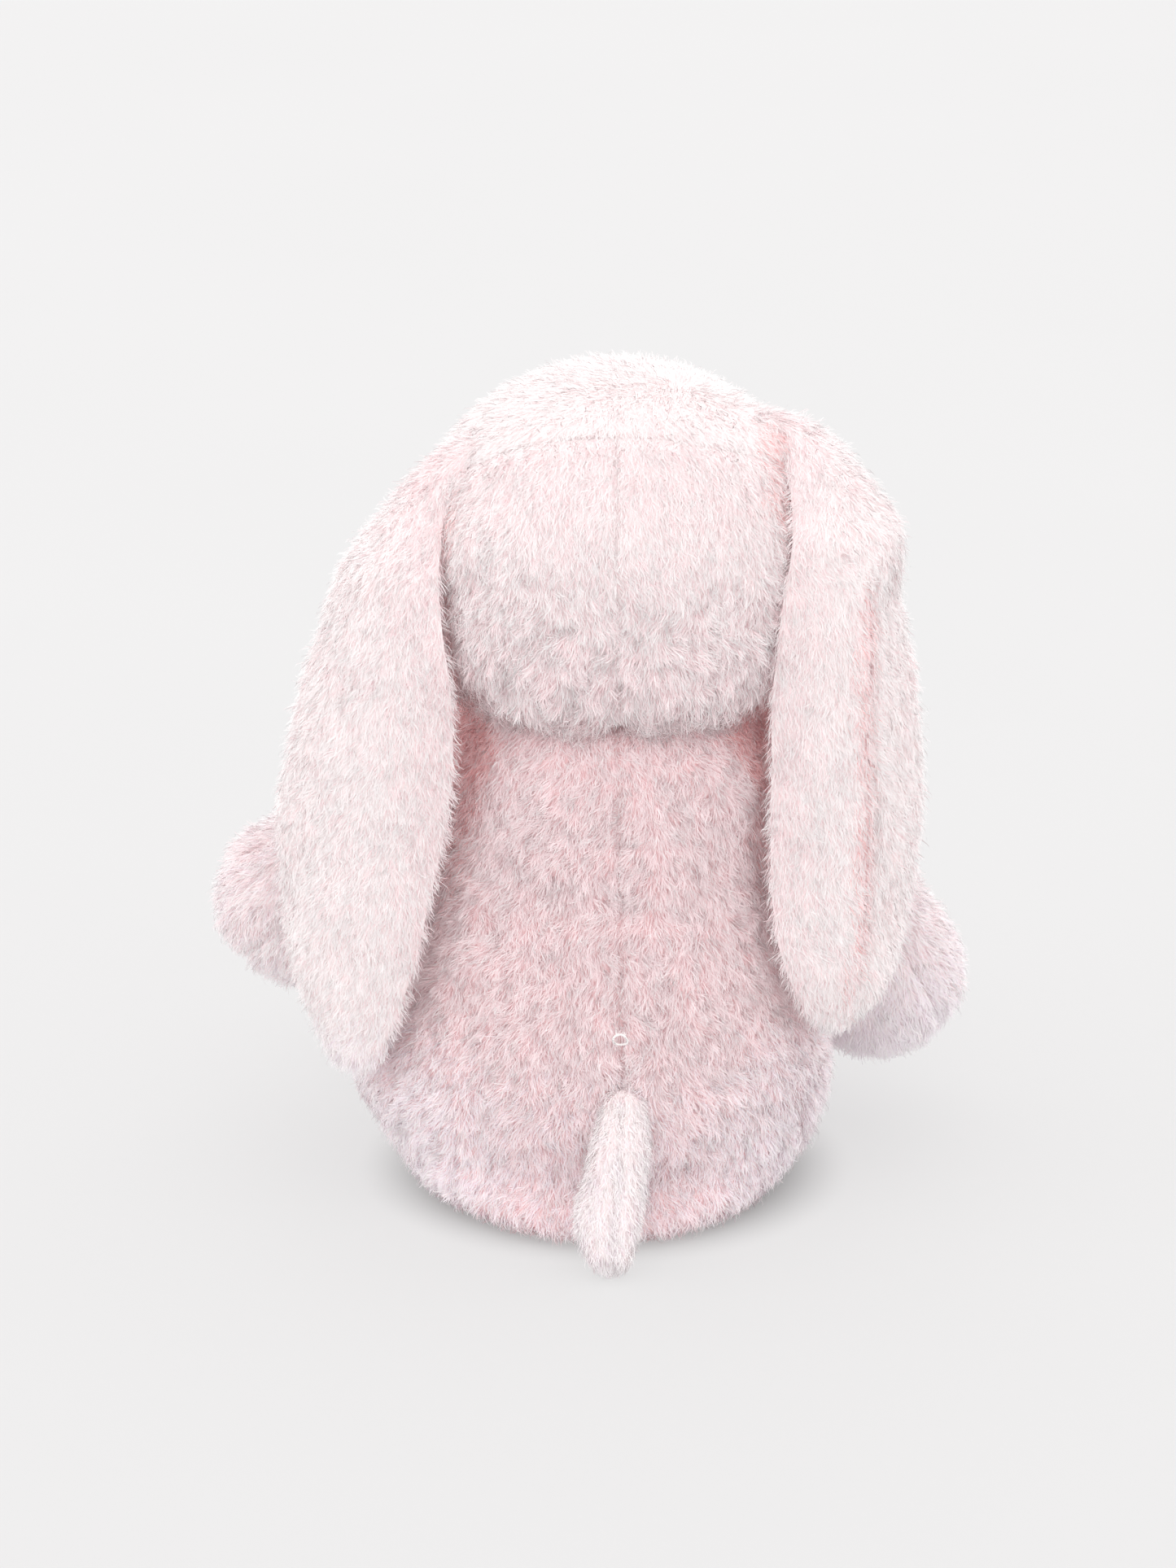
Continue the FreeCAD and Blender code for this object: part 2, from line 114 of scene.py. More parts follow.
# ---- limbs: root, end, and the radii of root ball, middle and end ball
LIMBS = {
    "arm_left": ((77, -16, 190), (142, -40, 120), (20.0, 27.0, 38.5)),
    "arm_right": ((-80, -24, 184), (-131, -64, 74), (20.0, 32.0, 37.0)),
    "tail": ((-6, 89, 66), (-2, 130, 12), (9.0, 12.5, 8.5)),
}
LEG_HIP, LEG_ANKLE, LEG_RADII = (62, -80, 38.5), (72, -151, 36), (34.0, 29.0)
HEEL, TOES, FOOT_R = (75, -163, 34), (75, -165, 60), (30.0, 30.5)
LEG_MIDDLE = (72, -138, 44)
SOLE_Y, SOLE_Z = -188.0, 47.0
SOLE_HALF, SOLE_TALL = 21, 31  # half-width and half-height of a sole pad

# ---- closing seam: rise and half-width of one stitch, and the height of the loose loop
STITCH_RISE, STITCH_HALF, LOOP_Z = 7.5, 2.4, 101.0


# ---------------- small maths

def smooth(xs, ys, x):
    """A smooth curve through the points, at x."""
    xs, ys = np.asarray(xs, float), np.asarray(ys, float)
    slopes = np.gradient(ys, xs, axis=0)
    i = np.clip(np.searchsorted(xs, x) - 1, 0, len(xs) - 2)
    gap = xs[i + 1] - xs[i]
    t = (x - xs[i]) / gap
    if ys.ndim > 1:
        t, gap = t[..., None], gap[..., None]
    ease = t * t * (3 - 2 * t)
    bend = (t ** 3 - 2 * t ** 2 + t) * gap * slopes[i] + (t ** 3 - t ** 2) * gap * slopes[i + 1]
    return ys[i] * (1 - ease) + ys[i + 1] * ease + bend


def step(low, high, x):
    t = np.clip((x - low) / (high - low), 0, 1)
    return t * t * (3 - 2 * t)


def ring_angles(count):
    return np.linspace(0, 2 * math.pi, count, endpoint=False)


def by_height(low, high, below, above):
    """A function of points that goes from one value to another between two heights."""
    return lambda q: below + (above - below) * step(low, high, q[..., 2])


def bump_at(x, middle, width):
    return np.exp(-((x - middle) / width) ** 2)


def unit(v):
    return v / np.maximum(np.linalg.norm(v, axis=-1, keepdims=True), 1e-9)


def noise(p, size):
    """Smooth noise from -1 to 1, in three channels, with lumps of that size."""
    q = p / size + 100.0
    i = np.floor(q).astype(int)
    f = q - i
    f = f * f * (3 - 2 * f)
    total = np.zeros(p.shape)
    for corner in np.ndindex(2, 2, 2):
        share = np.prod(np.where(np.array(corner) == 1, f, 1 - f), axis=-1)
        x, y, z = np.moveaxis((i + corner) % 32, -1, 0)
        total += share[..., None] * LATTICE[x, y, z]
    return total


def grid_normals(p):
    """Normals of a grid whose columns close round."""
    across = np.roll(p, -1, 1) - np.roll(p, 1, 1)
    return unit(np.cross(across, np.gradient(p, axis=0)))


def other_way(p):
    """The same closed grid with its columns going round the other way."""
    return p[:, (-np.arange(p.shape[1])) % p.shape[1]]


# ---------------- materials

def node(tree, kind, **values):
    n = tree.nodes.new(kind)
    for key, value in values.items():
        n.inputs[key.replace("_", " ")].default_value = value
    return n


def principled(name):
    m = bpy.data.materials.new(name)
    m.use_nodes = True
    return m, m.node_tree, m.node_tree.nodes["Principled BSDF"]


def pile_material(name, colour):
    """One tone of the pile, with uneven lustre.  Many strands of these tones make up a panel's colour."""
    m, tree, shader = principled(name)
    shader.inputs["Base Color"].default_value = (*colour, 1)
    shader.inputs["Roughness"].default_value = 0.85
    shader.inputs["Sheen Roughness"].default_value = 0.5
    shader.inputs["Sheen Tint"].default_value = (1.0, 0.95, 0.95, 1)
    place = node(tree, "ShaderNodeTexCoord")
    grain = node(tree, "ShaderNodeTexNoise", Scale=240.0, Detail=2.0)
    tree.links.new(place.outputs["Object"], grain.inputs["Vector"])
    for lustre, most in (("Sheen Weight", 0.16), ("Specular IOR Level", 0.4)):
        amount = node(tree, "ShaderNodeMapRange", To_Max=most)
        tree.links.new(grain.outputs["Fac"], amount.inputs["Value"])
        tree.links.new(amount.outputs["Result"], shader.inputs[lustre])
    return m


def cloth_material(name, dark, light, scale, rough=0.9, bump=0.4, stretch=(1, 1, 1)):
    """Cloth or plastic whose colour drifts between two tones, with a fine raised grain."""
    m, tree, shader = principled(name)
    place = node(tree, "ShaderNodeTexCoord")
    turn = node(tree, "ShaderNodeMapping", Scale=stretch)
    grain = node(tree, "ShaderNodeTexNoise", Scale=scale, Detail=3.0)
    patches = node(tree, "ShaderNodeTexNoise", Scale=scale / 9, Detail=2.0)
    half, mixed = tree.nodes.new("ShaderNodeMath"), tree.nodes.new("ShaderNodeMath")
    half.operation, mixed.operation = "MULTIPLY", "MULTIPLY_ADD"
    half.inputs[1].default_value = mixed.inputs[1].default_value = 0.5
    ramp = tree.nodes.new("ShaderNodeValToRGB")
    for element, position, colour in zip(ramp.color_ramp.elements, (0.3, 0.7), (dark, light)):
        element.position, element.color = position, (*colour, 1)
    lift = node(tree, "ShaderNodeBump", Strength=bump, Distance=0.0006)
    links = [
        (place.outputs["Object"], turn.inputs["Vector"]),
        (turn.outputs["Vector"], grain.inputs["Vector"]),
        (turn.outputs["Vector"], patches.inputs["Vector"]),
        (patches.outputs["Fac"], half.inputs[0]),
        (grain.outputs["Fac"], mixed.inputs[0]),
        (half.outputs[0], mixed.inputs[2]),
        (mixed.outputs[0], ramp.inputs["Fac"]),
        (ramp.outputs["Color"], shader.inputs["Base Color"]),
        (grain.outputs["Fac"], lift.inputs["Height"]),
        (lift.outputs["Normal"], shader.inputs["Normal"]),
    ]
    for start, end in links:
        tree.links.new(start, end)
    shader.inputs["Roughness"].default_value = rough
    return m


# Root, middle and tip of each of four strains of pile.  The deep strain is painted shade, put in the crevices
# where shade falls.
PILE = [
    pile_material(f"pile_{strain}_{part}", colour)
    for strain, tones in {
        # Every strain is darker towards the root: partly its own colour, partly painted shade deep in the
        # pile.
        "cream": ((0.97, 0.91, 0.91), (0.985, 0.955, 0.955), (0.99, 0.98, 0.98)),
        "rosy": ((0.94, 0.74, 0.76), (0.965, 0.825, 0.84), (0.975, 0.88, 0.89)),
        "lilac": ((0.96, 0.85, 0.915), (0.98, 0.915, 0.96), (0.985, 0.95, 0.98)),
        "deep": ((0.93, 0.52, 0.52), (0.96, 0.62, 0.62), (0.97, 0.70, 0.70)),
    }.items()
    for part, colour in zip(("root", "middle", "tip"), tones)
]
BACKING = cloth_material("pile_backing", (0.88, 0.60, 0.61), (0.94, 0.72, 0.73), 700.0)
PALE_BACKING = cloth_material("pile_backing_pale", (0.94, 0.83, 0.83), (0.98, 0.91, 0.91), 700.0)


# ---------------- meshes

def new_piece(name, verts, faces, materials):
    me = bpy.data.meshes.new(name)
    me.from_pydata((np.asarray(verts) * MM).tolist(), [], faces)
    for m in materials:
        me.materials.append(m)
    me.polygons.foreach_set("use_smooth", np.ones(len(me.polygons), bool))
    me.update()
    ob = bpy.data.objects.new(name, me)
    bpy.context.scene.collection.objects.link(ob)
    return ob


def quads(rows, cols, wraps, first=0, flip=False):
    """Faces of a grid of rows by cols points."""
    i, j = np.meshgrid(np.arange(rows - 1), np.arange(cols if wraps else cols - 1), indexing="ij")
    k = (j + 1) % cols
    faces = np.stack([i * cols + j, i * cols + k, (i + 1) * cols + k, (i + 1) * cols + j], -1).reshape(-1, 4)
    return (first + (faces[:, ::-1] if flip else faces)).tolist()


def shell(name, p, n, material, wraps=False):
    """A grid made into a thin closed skin."""
    rows, cols = p.shape[:2]
    size = rows * cols
    faces = quads(rows, cols, wraps) + quads(rows, cols, wraps, size, True)
    index = np.arange(size).reshape(rows, cols)
    rims = [index[0, ::-1], index[-1]]
    if wraps:
        rims = [np.append(r, r[0]) for r in rims]
    else:
        rims += [index[:, 0], index[::-1, -1]]
    for rim in rims:
        for a, b in zip(rim[:-1], rim[1:]):
            faces.append([int(b), int(a), int(a + size), int(b + size)])
    verts = np.concatenate([p.reshape(-1, 3), (p - n * SKIN_THICK).reshape(-1, 3)])
    return new_piece(name, verts, faces, [material])


def puffed(name, p, pinned, cap):
    """The closed grid, swollen by air pressure as cloth that is held along its seams.

    pinned is the share, 0 to 1, by which each point is held. cap is the furthest that a point may move.
    """
    rows, cols = p.shape[:2]
    ob = new_piece(name + "_sim", p.reshape(-1, 3), quads(rows, cols, True), [])
    group = ob.vertex_groups.new(name="held")
    for i, weight in enumerate(pinned.reshape(-1)):
        if weight > 0.01:
            group.add([i], float(weight), "REPLACE")
    cloth = ob.modifiers.new("cloth", "CLOTH")
    cloth.settings.quality = 4
    cloth.settings.mass = 0.2
    cloth.settings.use_pressure = True
    cloth.settings.uniform_pressure_force = PRESSURE
    cloth.settings.vertex_group_mass = "held"
    cloth.settings.effector_weights.gravity = 0
    cloth.point_cache.frame_start, cloth.point_cache.frame_end = 1, PUFF_FRAMES
    scene = bpy.context.scene
    for f in range(1, PUFF_FRAMES + 1):
        scene.frame_set(f)
    graph = bpy.context.evaluated_depsgraph_get()
    swollen = ob.evaluated_get(graph).data
    co = np.empty(rows * cols * 3)
    swollen.vertices.foreach_get("co", co)
    moved = co.reshape(p.shape) / MM - p
    far = np.linalg.norm(moved, axis=-1, keepdims=True)
    bpy.data.objects.remove(ob)
    scene.frame_set(1)
    return p + moved * np.minimum(1, cap / np.maximum(far, 1e-6))


# ---------------- pile

def default_nap(root):
    """The pile lies downwards, and outwards where it can't."""
    return np.array([0, 0, -1.0]) + 0.012 * (root - HEAD_AT) * [1, 1, 0]


def planted(p, per_mm2, spare):
    """Where the strands of a panel stand: the cell of each and its place in that cell."""
    corners = p[:-1, :-1], p[:-1, 1:], p[1:, 1:], p[1:, :-1]
    area = np.linalg.norm(np.cross(corners[2] - corners[0], corners[3] - corners[1]), axis=-1) / 2
    weight = area.copy()
    if spare is not None:
        weight *= spare(sum(corners) / 4)
    count = int(min(MOST_STRANDS, weight.sum() * per_mm2))
    cell = GROWTH.choice(area.size, count, p=(weight / weight.sum()).reshape(-1))
    i, j = np.unravel_index(cell, area.shape)
    return i, j, GROWTH.random(count)[:, None], GROWTH.random(count)[:, None]


def between(grid, i, j, a, b):
    """The grid's values inside its cells."""
    first = grid[i, j] * (1 - a) + grid[i + 1, j] * a
    second = grid[i, j + 1] * (1 - a) + grid[i + 1, j + 1] * a
    return first * (1 - b) + second * b


def near_seams(p, i, j, a, b, edges, edge_reach):
    """For each strand, 1 at a seam down to 0 past its reach, and the way that leads off that seam."""
    rows, cols = p.shape[:2]
    wide = np.linalg.norm(np.diff(p, axis=1), axis=-1).mean(1)[i]
    tall = np.linalg.norm(np.diff(p, axis=0), axis=-1).mean(1)[i]
    u, v = j + b[:, 0], i + a[:, 0]
    reach = np.stack([u * wide, (cols - 1 - u) * wide, v * tall, (rows - 1 - v) * tall], 1)
    reach = np.where(np.array(edges) > 0, reach, 1e3)
    side_way, row_way = unit(p[i, j + 1] - p[i, j]), unit(p[i + 1, j] - p[i, j])
    ways = side_way, -side_way, row_way, -row_way
    away = np.select([(reach.argmin(1) == k)[:, None] for k in range(4)], ways)
    return 1 - step(0, edge_reach, reach.min(1)), away


def spread(value, root):
    """A value for each strand, from a number or from a function of the points."""
    return value(root) if callable(value) else np.full(len(root), float(value))


def ribbons(points, broad, half, up):
    """Strands as ribbons of seven points along four, turned to face outwards and kept off the floor."""
    verts = np.zeros((len(up), 7, 3))
    for k, share in enumerate((0.9, 1.0, 0.62)):
        verts[:, 2 * k] = points[k] - broad * half * share
        verts[:, 2 * k + 1] = points[k] + broad * half * share
    verts[:, 6] = points[3]
    facing = np.cross(verts[:, 1] - verts[:, 0], verts[:, 2] - verts[:, 0])
    back = (facing * up).sum(1) < 0
    verts[back] = verts[back][:, [1, 0, 3, 2, 5, 4, 6]]
    verts[..., 2] = np.maximum(verts[..., 2], 0.2)
    return verts


def pile(name, p, n, per_mm2, length, lean_deg, tuft, nap=default_nap, tones=(0.3, 0.7),
         edges=(1, 1, 1, 1), width=0.3, spare=None, edge_reach=6.0, edge_share=0.72, sweep=0.35):
    """The strands of one panel.

    length, lean_deg and tuft may be functions of the points. tuft is how strongly strands gather into tufts.
    nap is the way that strands lie, or a function giving it.
    tones are the shares of cream, rosy, lilac and deep strands, which may be functions too.
    edges says which of the panel's sides are seams: first column, last column, first row, last row.
    spare is a function giving the share of strands kept at each point.
    edge_share is how much of its length a strand at a seam has, up to edge_reach from it.
    sweep is how strongly strands at a seam lie away from it, or out over it if negative.
    """
    cells = planted(p, per_mm2, spare)
    root, up = between(p, *cells), unit(between(n, *cells))
    near, away = near_seams(p, *cells, edges, edge_reach)
    count = len(root)

    long, lean, tuft = spread(length, root), np.radians(spread(lean_deg, root)), spread(tuft, root)
    lump, drift = noise(root, TUFT_SIZE), noise(root, DRIFT_SIZE)
    long = long * (0.78 + 0.34 * GROWTH.random(count)) * (1 + 0.3 * tuft * lump[:, 2])
    long = long * (edge_share + (1 - edge_share) * (1 - near))
    stray = GROWTH.random(count) < 0.05 + 0.07 * tuft
    lean = lean + np.radians(14 * tuft) * lump[:, 0] + np.radians(8) * GROWTH.standard_normal(count)
    lean = np.where(stray, lean * (0.45 + 0.3 * GROWTH.random(count)), lean)
    lean = np.clip(lean, 0.12, 1.42)
    flat = nap(root) if callable(nap) else np.array(nap)
    way = unit(flat - (flat * up).sum(1, keepdims=True) * up)
    way = unit(way + near[:, None] * sweep * away)
    side = np.cross(up, way)
    turn = tuft * (0.8 * lump[:, 1] + 0.8 * drift[:, 0]) + 0.33 * GROWTH.standard_normal(count)
    way = way * np.cos(turn)[:, None] + side * np.sin(turn)[:, None]
    side = np.cross(up, way)

    rise, run = (long * np.cos(lean))[:, None], (long * np.sin(lean))[:, None]
    curl = (1.5 * GROWTH.standard_normal(count))[:, None]
    points = [
        root - up * 0.6,
        root + up * rise * 0.58 + way * run * 0.30,
        root + up * rise * 0.92 + way * run * 0.68 + side * curl * 0.4,
        root + up * rise * 0.96 + way * run + side * curl,
    ]
    twist = 0.55 * GROWTH.standard_normal(count)[:, None]
    broad = unit(side * np.cos(twist) + up * np.sin(twist))
    half = (width * (0.7 + 0.6 * GROWTH.random(count)) / 2)[:, None]
    tilt = up + 0.6 * tuft[:, None] * (way * lump[:, :1] + side * lump[:, 1:2])
    return strand_mesh(name, ribbons(points, broad, half, up), tilt, tone_of(root, lump, tones))


def painted_crevice_shade(root):
    """The share of deep pile, which is painted shade: most of it between an ear and the neck, some beside the
    back and the head.
    """
    x, y, z = np.abs(root[:, 0] + 2), root[:, 1], root[:, 2]
    neck = 4 * (1 - step(9, 22, np.hypot(x - 69, (z - 226) / 1.3))) * step(-16, -4, y)
    beside = step(130, 190, z) * (1 - step(225, 270, z))
    back = 0.6 * (1 - step(4, 16, np.abs(x - 69))) * beside * step(-4, 10, y)
    head = 0.8 * step(63, 75, x) * step(235, 250, z) * step(12, 24, y)
    return np.max([neck, back, head], axis=0) * (1 - step(40, 50, y))


def tone_of(root, lump, tones):
    """Which strain each strand is of: 0 cream, 1 rosy, 2 lilac, 3 deep.

    The pile turns lilac low down, and paler as well at the lower sides, which is partly painted light.
    """
    # Unless given, the deep strain's share is the painted shade of the crevices.
    usual = (0, 0, 0, painted_crevice_shade)
    cream, rosy, lilac, deep = (t(root) if callable(t) else t for t in (*tones, *usual[len(tones):]))
    low = 1 - step(15, 110, root[:, 2])
    edge = step(35, 90, np.abs(root[:, 0]))
    # Paler at the lower sides: partly painted light.
    lilac = lilac + low * (0.55 + 1.8 * edge)
    cream = cream + 0.9 * low * edge
    rosy = np.maximum(rosy + 0.3 * lump[:, 2] - low * (0.1 + 0.5 * edge), 0.02)
    shares = np.stack([cream + 0 * low, rosy, lilac, deep + 0 * low], 1)
    shares = np.cumsum(shares / shares.sum(1, keepdims=True), 1)
    pick = GROWTH.random(len(root))[:, None]
    return np.minimum((pick > shares).sum(1), 3)


def strand_mesh(name, verts, tilt, strain):
    """Ribbons of two quads and a pointed tip, lit as the skin under them is."""
    count = len(verts)
    base = (np.arange(count) * 7)[:, None]
    four = np.concatenate([base + [[0, 1, 3, 2]], base + [[2, 3, 5, 4]]])
    three = base + [[4, 5, 6]]
    me = bpy.data.meshes.new(name)
    me.vertices.add(count * 7)
    me.vertices.foreach_set("co", (verts * MM).reshape(-1).astype(np.float32))
    me.loops.add(four.size + three.size)
    corners = np.concatenate([four.reshape(-1), three.reshape(-1)])
    me.loops.foreach_set("vertex_index", corners.astype(np.int32))
    me.polygons.add(len(four) + len(three))
    starts = np.concatenate([np.arange(len(four)) * 4, four.size + np.arange(len(three)) * 3])
    me.polygons.foreach_set("loop_start", starts.astype(np.int32))
    slots = np.concatenate([strain * 3, strain * 3 + 1, strain * 3 + 2])
    me.polygons.foreach_set("material_index", slots.astype(np.int32))
    me.polygons.foreach_set("use_smooth", np.ones(len(slots), bool))
    for m in PILE:
        me.materials.append(m)
    me.update(calc_edges=True)
    out = np.repeat(unit(tilt + 0.12 * GROWTH.standard_normal((count, 3))), 7, axis=0)
    me.normals_split_custom_set_from_vertices(out)
    ob = bpy.data.objects.new(name, me)
    bpy.context.scene.collection.objects.link(ob)
    # Light passes through fine pale fibres, so only the skin under them casts the part's shadows.
    ob.visible_shadow = False
    return ob


# ---------------- shapes

def torso_grid():
    """The torso's skin: rows go up, and columns go round from the left side by way of the back."""
    heights = np.array([z for z, _ in TORSO_SHAPE])
    t = np.linspace(0, 1, TORSO_ROWS)
    z = smooth(np.linspace(0, 1, len(heights)), heights, t)[:, None]
    half = smooth(np.linspace(0, 1, len(heights)), [r for _, r in TORSO_SHAPE], t)[:, None]
    a = np.radians(SIDE_SEAM_DEG + 360 / ROUND * np.arange(ROUND))[None, :]
    x, y = np.cos(a), np.sin(a)
    # The seat spreads into a squarer outline than the waist.
    low = 1 - step(5, 70, z)
    square = (np.abs(x) ** 2.5 + np.abs(y) ** 2.5) ** (-1 / 2.5)
    half = half * (1 + low * 0.5 * (square - 1))
    hips = 1 - RIGHT_HIP_IN * (1 - step(45, 125, z)) * step(0, 0.8, -x)
    hips = hips + LEFT_HIP_OUT * bump_at(z, 60, 24) * step(0, 0.8, x)
    rump = 1 + RUMP_OUT * (1 - step(0, RUMP_TOP, z)) * np.clip(y, 0, 1)
    wander = BACK_SEAM_SHIFT * np.clip(y, 0, 1) ** 3 * step(20, 70, z) * (1 - step(140, 225, z))
    across = half * x * hips + NECK_LEAN * step(140, 225, z) + wander
    return np.stack([across, half * y * DEPTH_SHARE * rump, z + 0 * x], -1)


def groove(p, n, start, end, deep, wide, bow):
    """A crease pressed into the points near the line from start to end, as seen from behind."""
    start, end = np.array(start, float), np.array(end, float)
    run = end - start
    size = np.hypot(*run)
    run = run / size
    d = p[..., [0, 2]] - start
    t = (d @ run) / size
    off = d @ np.array([-run[1], run[0]]) - bow * 4 * t * (1 - t)
    fade = step(-0.15, 0.2, t) * (1 - step(0.8, 1.15, t)) * step(0, 0.35, n[..., 1])
    return p - n * (deep * np.exp(-(off / wide) ** 2) * fade)[..., None]


def pinch(p, n, columns, deep, wide):
    """Draws the skin in along seam columns."""
    cols = p.shape[1]
    gap = np.linalg.norm(np.roll(p, -1, 1) - p, axis=-1)
    j = np.arange(cols)
    for c in columns:
        away = np.minimum((j - c) % cols, (c - j) % cols)
        dist = away[None, :] * gap.mean(1, keepdims=True)
        p = p - n * (deep * np.exp(-(dist / wide) ** 2))[..., None]
    return p


def held_at(p, columns):
    """1 on the seam columns and on the first and last rows, and nearly loose elsewhere."""
    held = np.full(p.shape[:2], 0.02)
    held[:, list(columns)] = 1
    held[[0, -1]] = 1
    return held


def head_grid():
    """The head's skin: rows go from right to left, and columns go over it from straight down by the nape."""
    lat = np.radians(np.linspace(-88.5, 88.5, HEAD_ROWS))[:, None]
    turn = np.radians(-90 + 360 / ROUND * np.arange(ROUND))[None, :]
    d = np.stack([np.sin(lat) + 0 * turn, np.cos(lat) * np.cos(turn), np.cos(lat) * np.sin(turn)], -1)
    away = np.clip(np.abs(d[..., 2]), 0, 0.999)
    power = np.where(d[..., 2] < 0, NAPE_POWER, CROWN_POWER)
    fuller = np.minimum((1 - away ** power) ** (1 / power) / np.sqrt(1 - away ** 2), 2.4)
    back = 0.35 + 0.65 * step(-0.8, -0.1, d[..., 1])
    d[..., :2] *= (1 + (fuller - 1) * back)[..., None]
    d[..., 2] *= 1 - CROWN_LOW * step(0, 0.6, d[..., 2])
    inset = 1 + 0.03 * step(0.0, 0.7, -d[..., 1])
    flat = unit(d[..., :2])
    squarer = (np.abs(flat) ** BACK_POWER).sum(-1) ** (-1 / BACK_POWER)
    behind = (flat[..., 1] > 0) * (1 - step(0.1, 0.6, d[..., 2]))
    d[..., :2] *= (1 + (squarer - 1) * behind)[..., None]
    p = HEAD_AT + d * HEAD_SEMI * inset[..., None]
    near = np.exp(-(np.linalg.norm(p - EAR_CORNER, axis=-1) / 20) ** 2)
    return p + unit(EAR_CORNER - HEAD_AT) * CORNER_PULL * near[..., None]


def ear_grid(rows, fold):
    """An ear as one flat bag: rows go down, and columns go round from the inner edge."""
    rows = np.array(rows, float)
    cut = smooth(np.linspace(0, 1, len(rows)), rows, np.linspace(0, 1, EAR_ROWS))
    z, inner, outer = cut[:, 0], cut[:, 1:3], cut[:, 3:5]
    across = outer - inner
    sign = np.sign(across[:, :1])
    away = unit(np.stack([-across[:, 1], across[:, 0]], 1) * sign)
    size = np.linalg.norm(across, axis=1, keepdims=True)
    phi = ring_angles(EAR_ROUND)[None, :]
    w = (1 - np.cos(phi)) / 2
    end = step(0, 0.06, np.linspace(0, 1, EAR_ROWS)) * step(0, 0.07, np.linspace(1, 0, EAR_ROWS))
    thick = EAR_THICK * (0.35 + 0.65 * end[:, None]) * np.sin(phi) * (0.75 + 0.25 * np.abs(np.sin(phi)))
    bow = EAR_BULGE * size * 4 * w * (1 - w)
    out = bow + thick
    if fold:
        folded = step(105, 150, z) * (1 - step(285, 325, z))
        dent = FOLD_DEEP * bump_at(w, FOLD_AT, 0.05) + FOLD_BACK * step(FOLD_AT, FOLD_AT + 0.12, w)
        out = out - folded[:, None] * dent
    xy = inner[:, None] + across[:, None] * w[..., None] + away[:, None] * out[..., None]
    p = np.concatenate([xy, np.broadcast_to(z[:, None, None], (EAR_ROWS, EAR_ROUND, 1))], -1)
    p = p + 2.4 * noise(p, 38.0) + 0.9 * noise(p, 17.0)
    n = grid_normals(p)
    middle = p.mean(1, keepdims=True)
    if ((p - middle) * n).sum() < 0:
        p = other_way(p)
    return p


def limb_grid(begin, finish, radii, rows=16, around=48):
    """A limb with round ends, from its root ball to its end ball."""
    begin, finish = np.array(begin, float), np.array(finish, float)
    root, mid, end = radii
    axis = finish - begin
    size = np.linalg.norm(axis)
    axis = axis / size
    cap = np.radians(np.linspace(4, 90, 9))
    along = [-root * np.cos(cap), np.linspace(0, size, rows)[1:-1], size + end * np.cos(cap[::-1])]
    shaft = smooth([0, size / 2, size], [root, mid, end], along[1])
    radius = [root * np.sin(cap), shaft, end * np.sin(cap[::-1])]
    along, radius = np.concatenate(along)[:, None], np.concatenate(radius)[:, None]
    side = unit(np.cross(axis, [0, 0, 1.0]))
    upper = np.cross(axis, side)
    turn = ring_angles(around)[None, :]
    ring = radius * np.cos(turn), radius * np.sin(turn)
    return begin + along[..., None] * axis + ring[0][..., None] * side + ring[1][..., None] * upper


def rounded_rod(p, a, b, ra, rb):
    """How far p is outside a rod with round ends from a to b, whose radius goes from ra to rb."""
    a, b = np.array(a, float), np.array(b, float)
    t = np.clip(((p - a) @ (b - a)) / ((b - a) @ (b - a)), 0, 1)
    return np.linalg.norm(p - a - t[..., None] * (b - a), axis=-1) - (ra + (rb - ra) * t)


def leg_grid(side, rows=44, around=60):
    """A thigh lying forward that turns up into a foot, as one surface round a middle point."""
    lat = np.radians(np.linspace(-87, 87, rows))[:, None]
    turn = ring_angles(around)[None, :] + math.pi / 2
    d = np.stack([np.cos(lat) * np.cos(turn), np.cos(lat) * np.sin(turn), np.sin(lat) + 0 * turn], -1)
    middle = np.array(LEG_MIDDLE, float)
    near, far = np.zeros(d.shape[:2]), np.full(d.shape[:2], 160.0)
    for _ in range(20):
        half = (near + far) / 2
        q = middle + d * half[..., None]
        thigh = rounded_rod(q, LEG_HIP, LEG_ANKLE, *LEG_RADII)
        foot = rounded_rod(q, HEEL, TOES, *FOOT_R)
        joined = -5 * np.log(np.exp(-thigh / 5) + np.exp(-foot / 5))
        sole = -(q[..., 1] - SOLE_Y - 1.5 * (q[..., 2] - SOLE_Z) ** 2 / 900)
        outside = np.maximum(joined, sole) > 0
        far, near = np.where(outside, half, far), np.where(outside, near, half)
    p = middle + d * near[..., None]
    if side == "right":
        p = other_way(p * [-1, 1, 1])
    return p


def dome_grid(at, semi, rows=22, around=64):
    """A little over half of an ellipsoid, round the -Y direction."""
    polar = np.radians(np.linspace(2.5, 112, rows))[:, None]
    turn = ring_angles(around)[None, :]
    d = np.stack([np.sin(polar) * np.cos(turn), -np.cos(polar) + 0 * turn, np.sin(polar) * np.sin(turn)], -1)
    p = at + d * semi
    if ((p - at) * grid_normals(p)).sum() < 0:
        p = other_way(p)
    return p


# ---------------- putting pieces in place

def settle(ob, body, stands_for=(), across=None):
    """ob moves with its body, or has its place baked in when it lies across a joint, and stands for CAD
    nodes.
    """
    if across is None:
        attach(ob, body)
    else:
        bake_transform(ob)
    if stands_for:
        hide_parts(*stands_for)


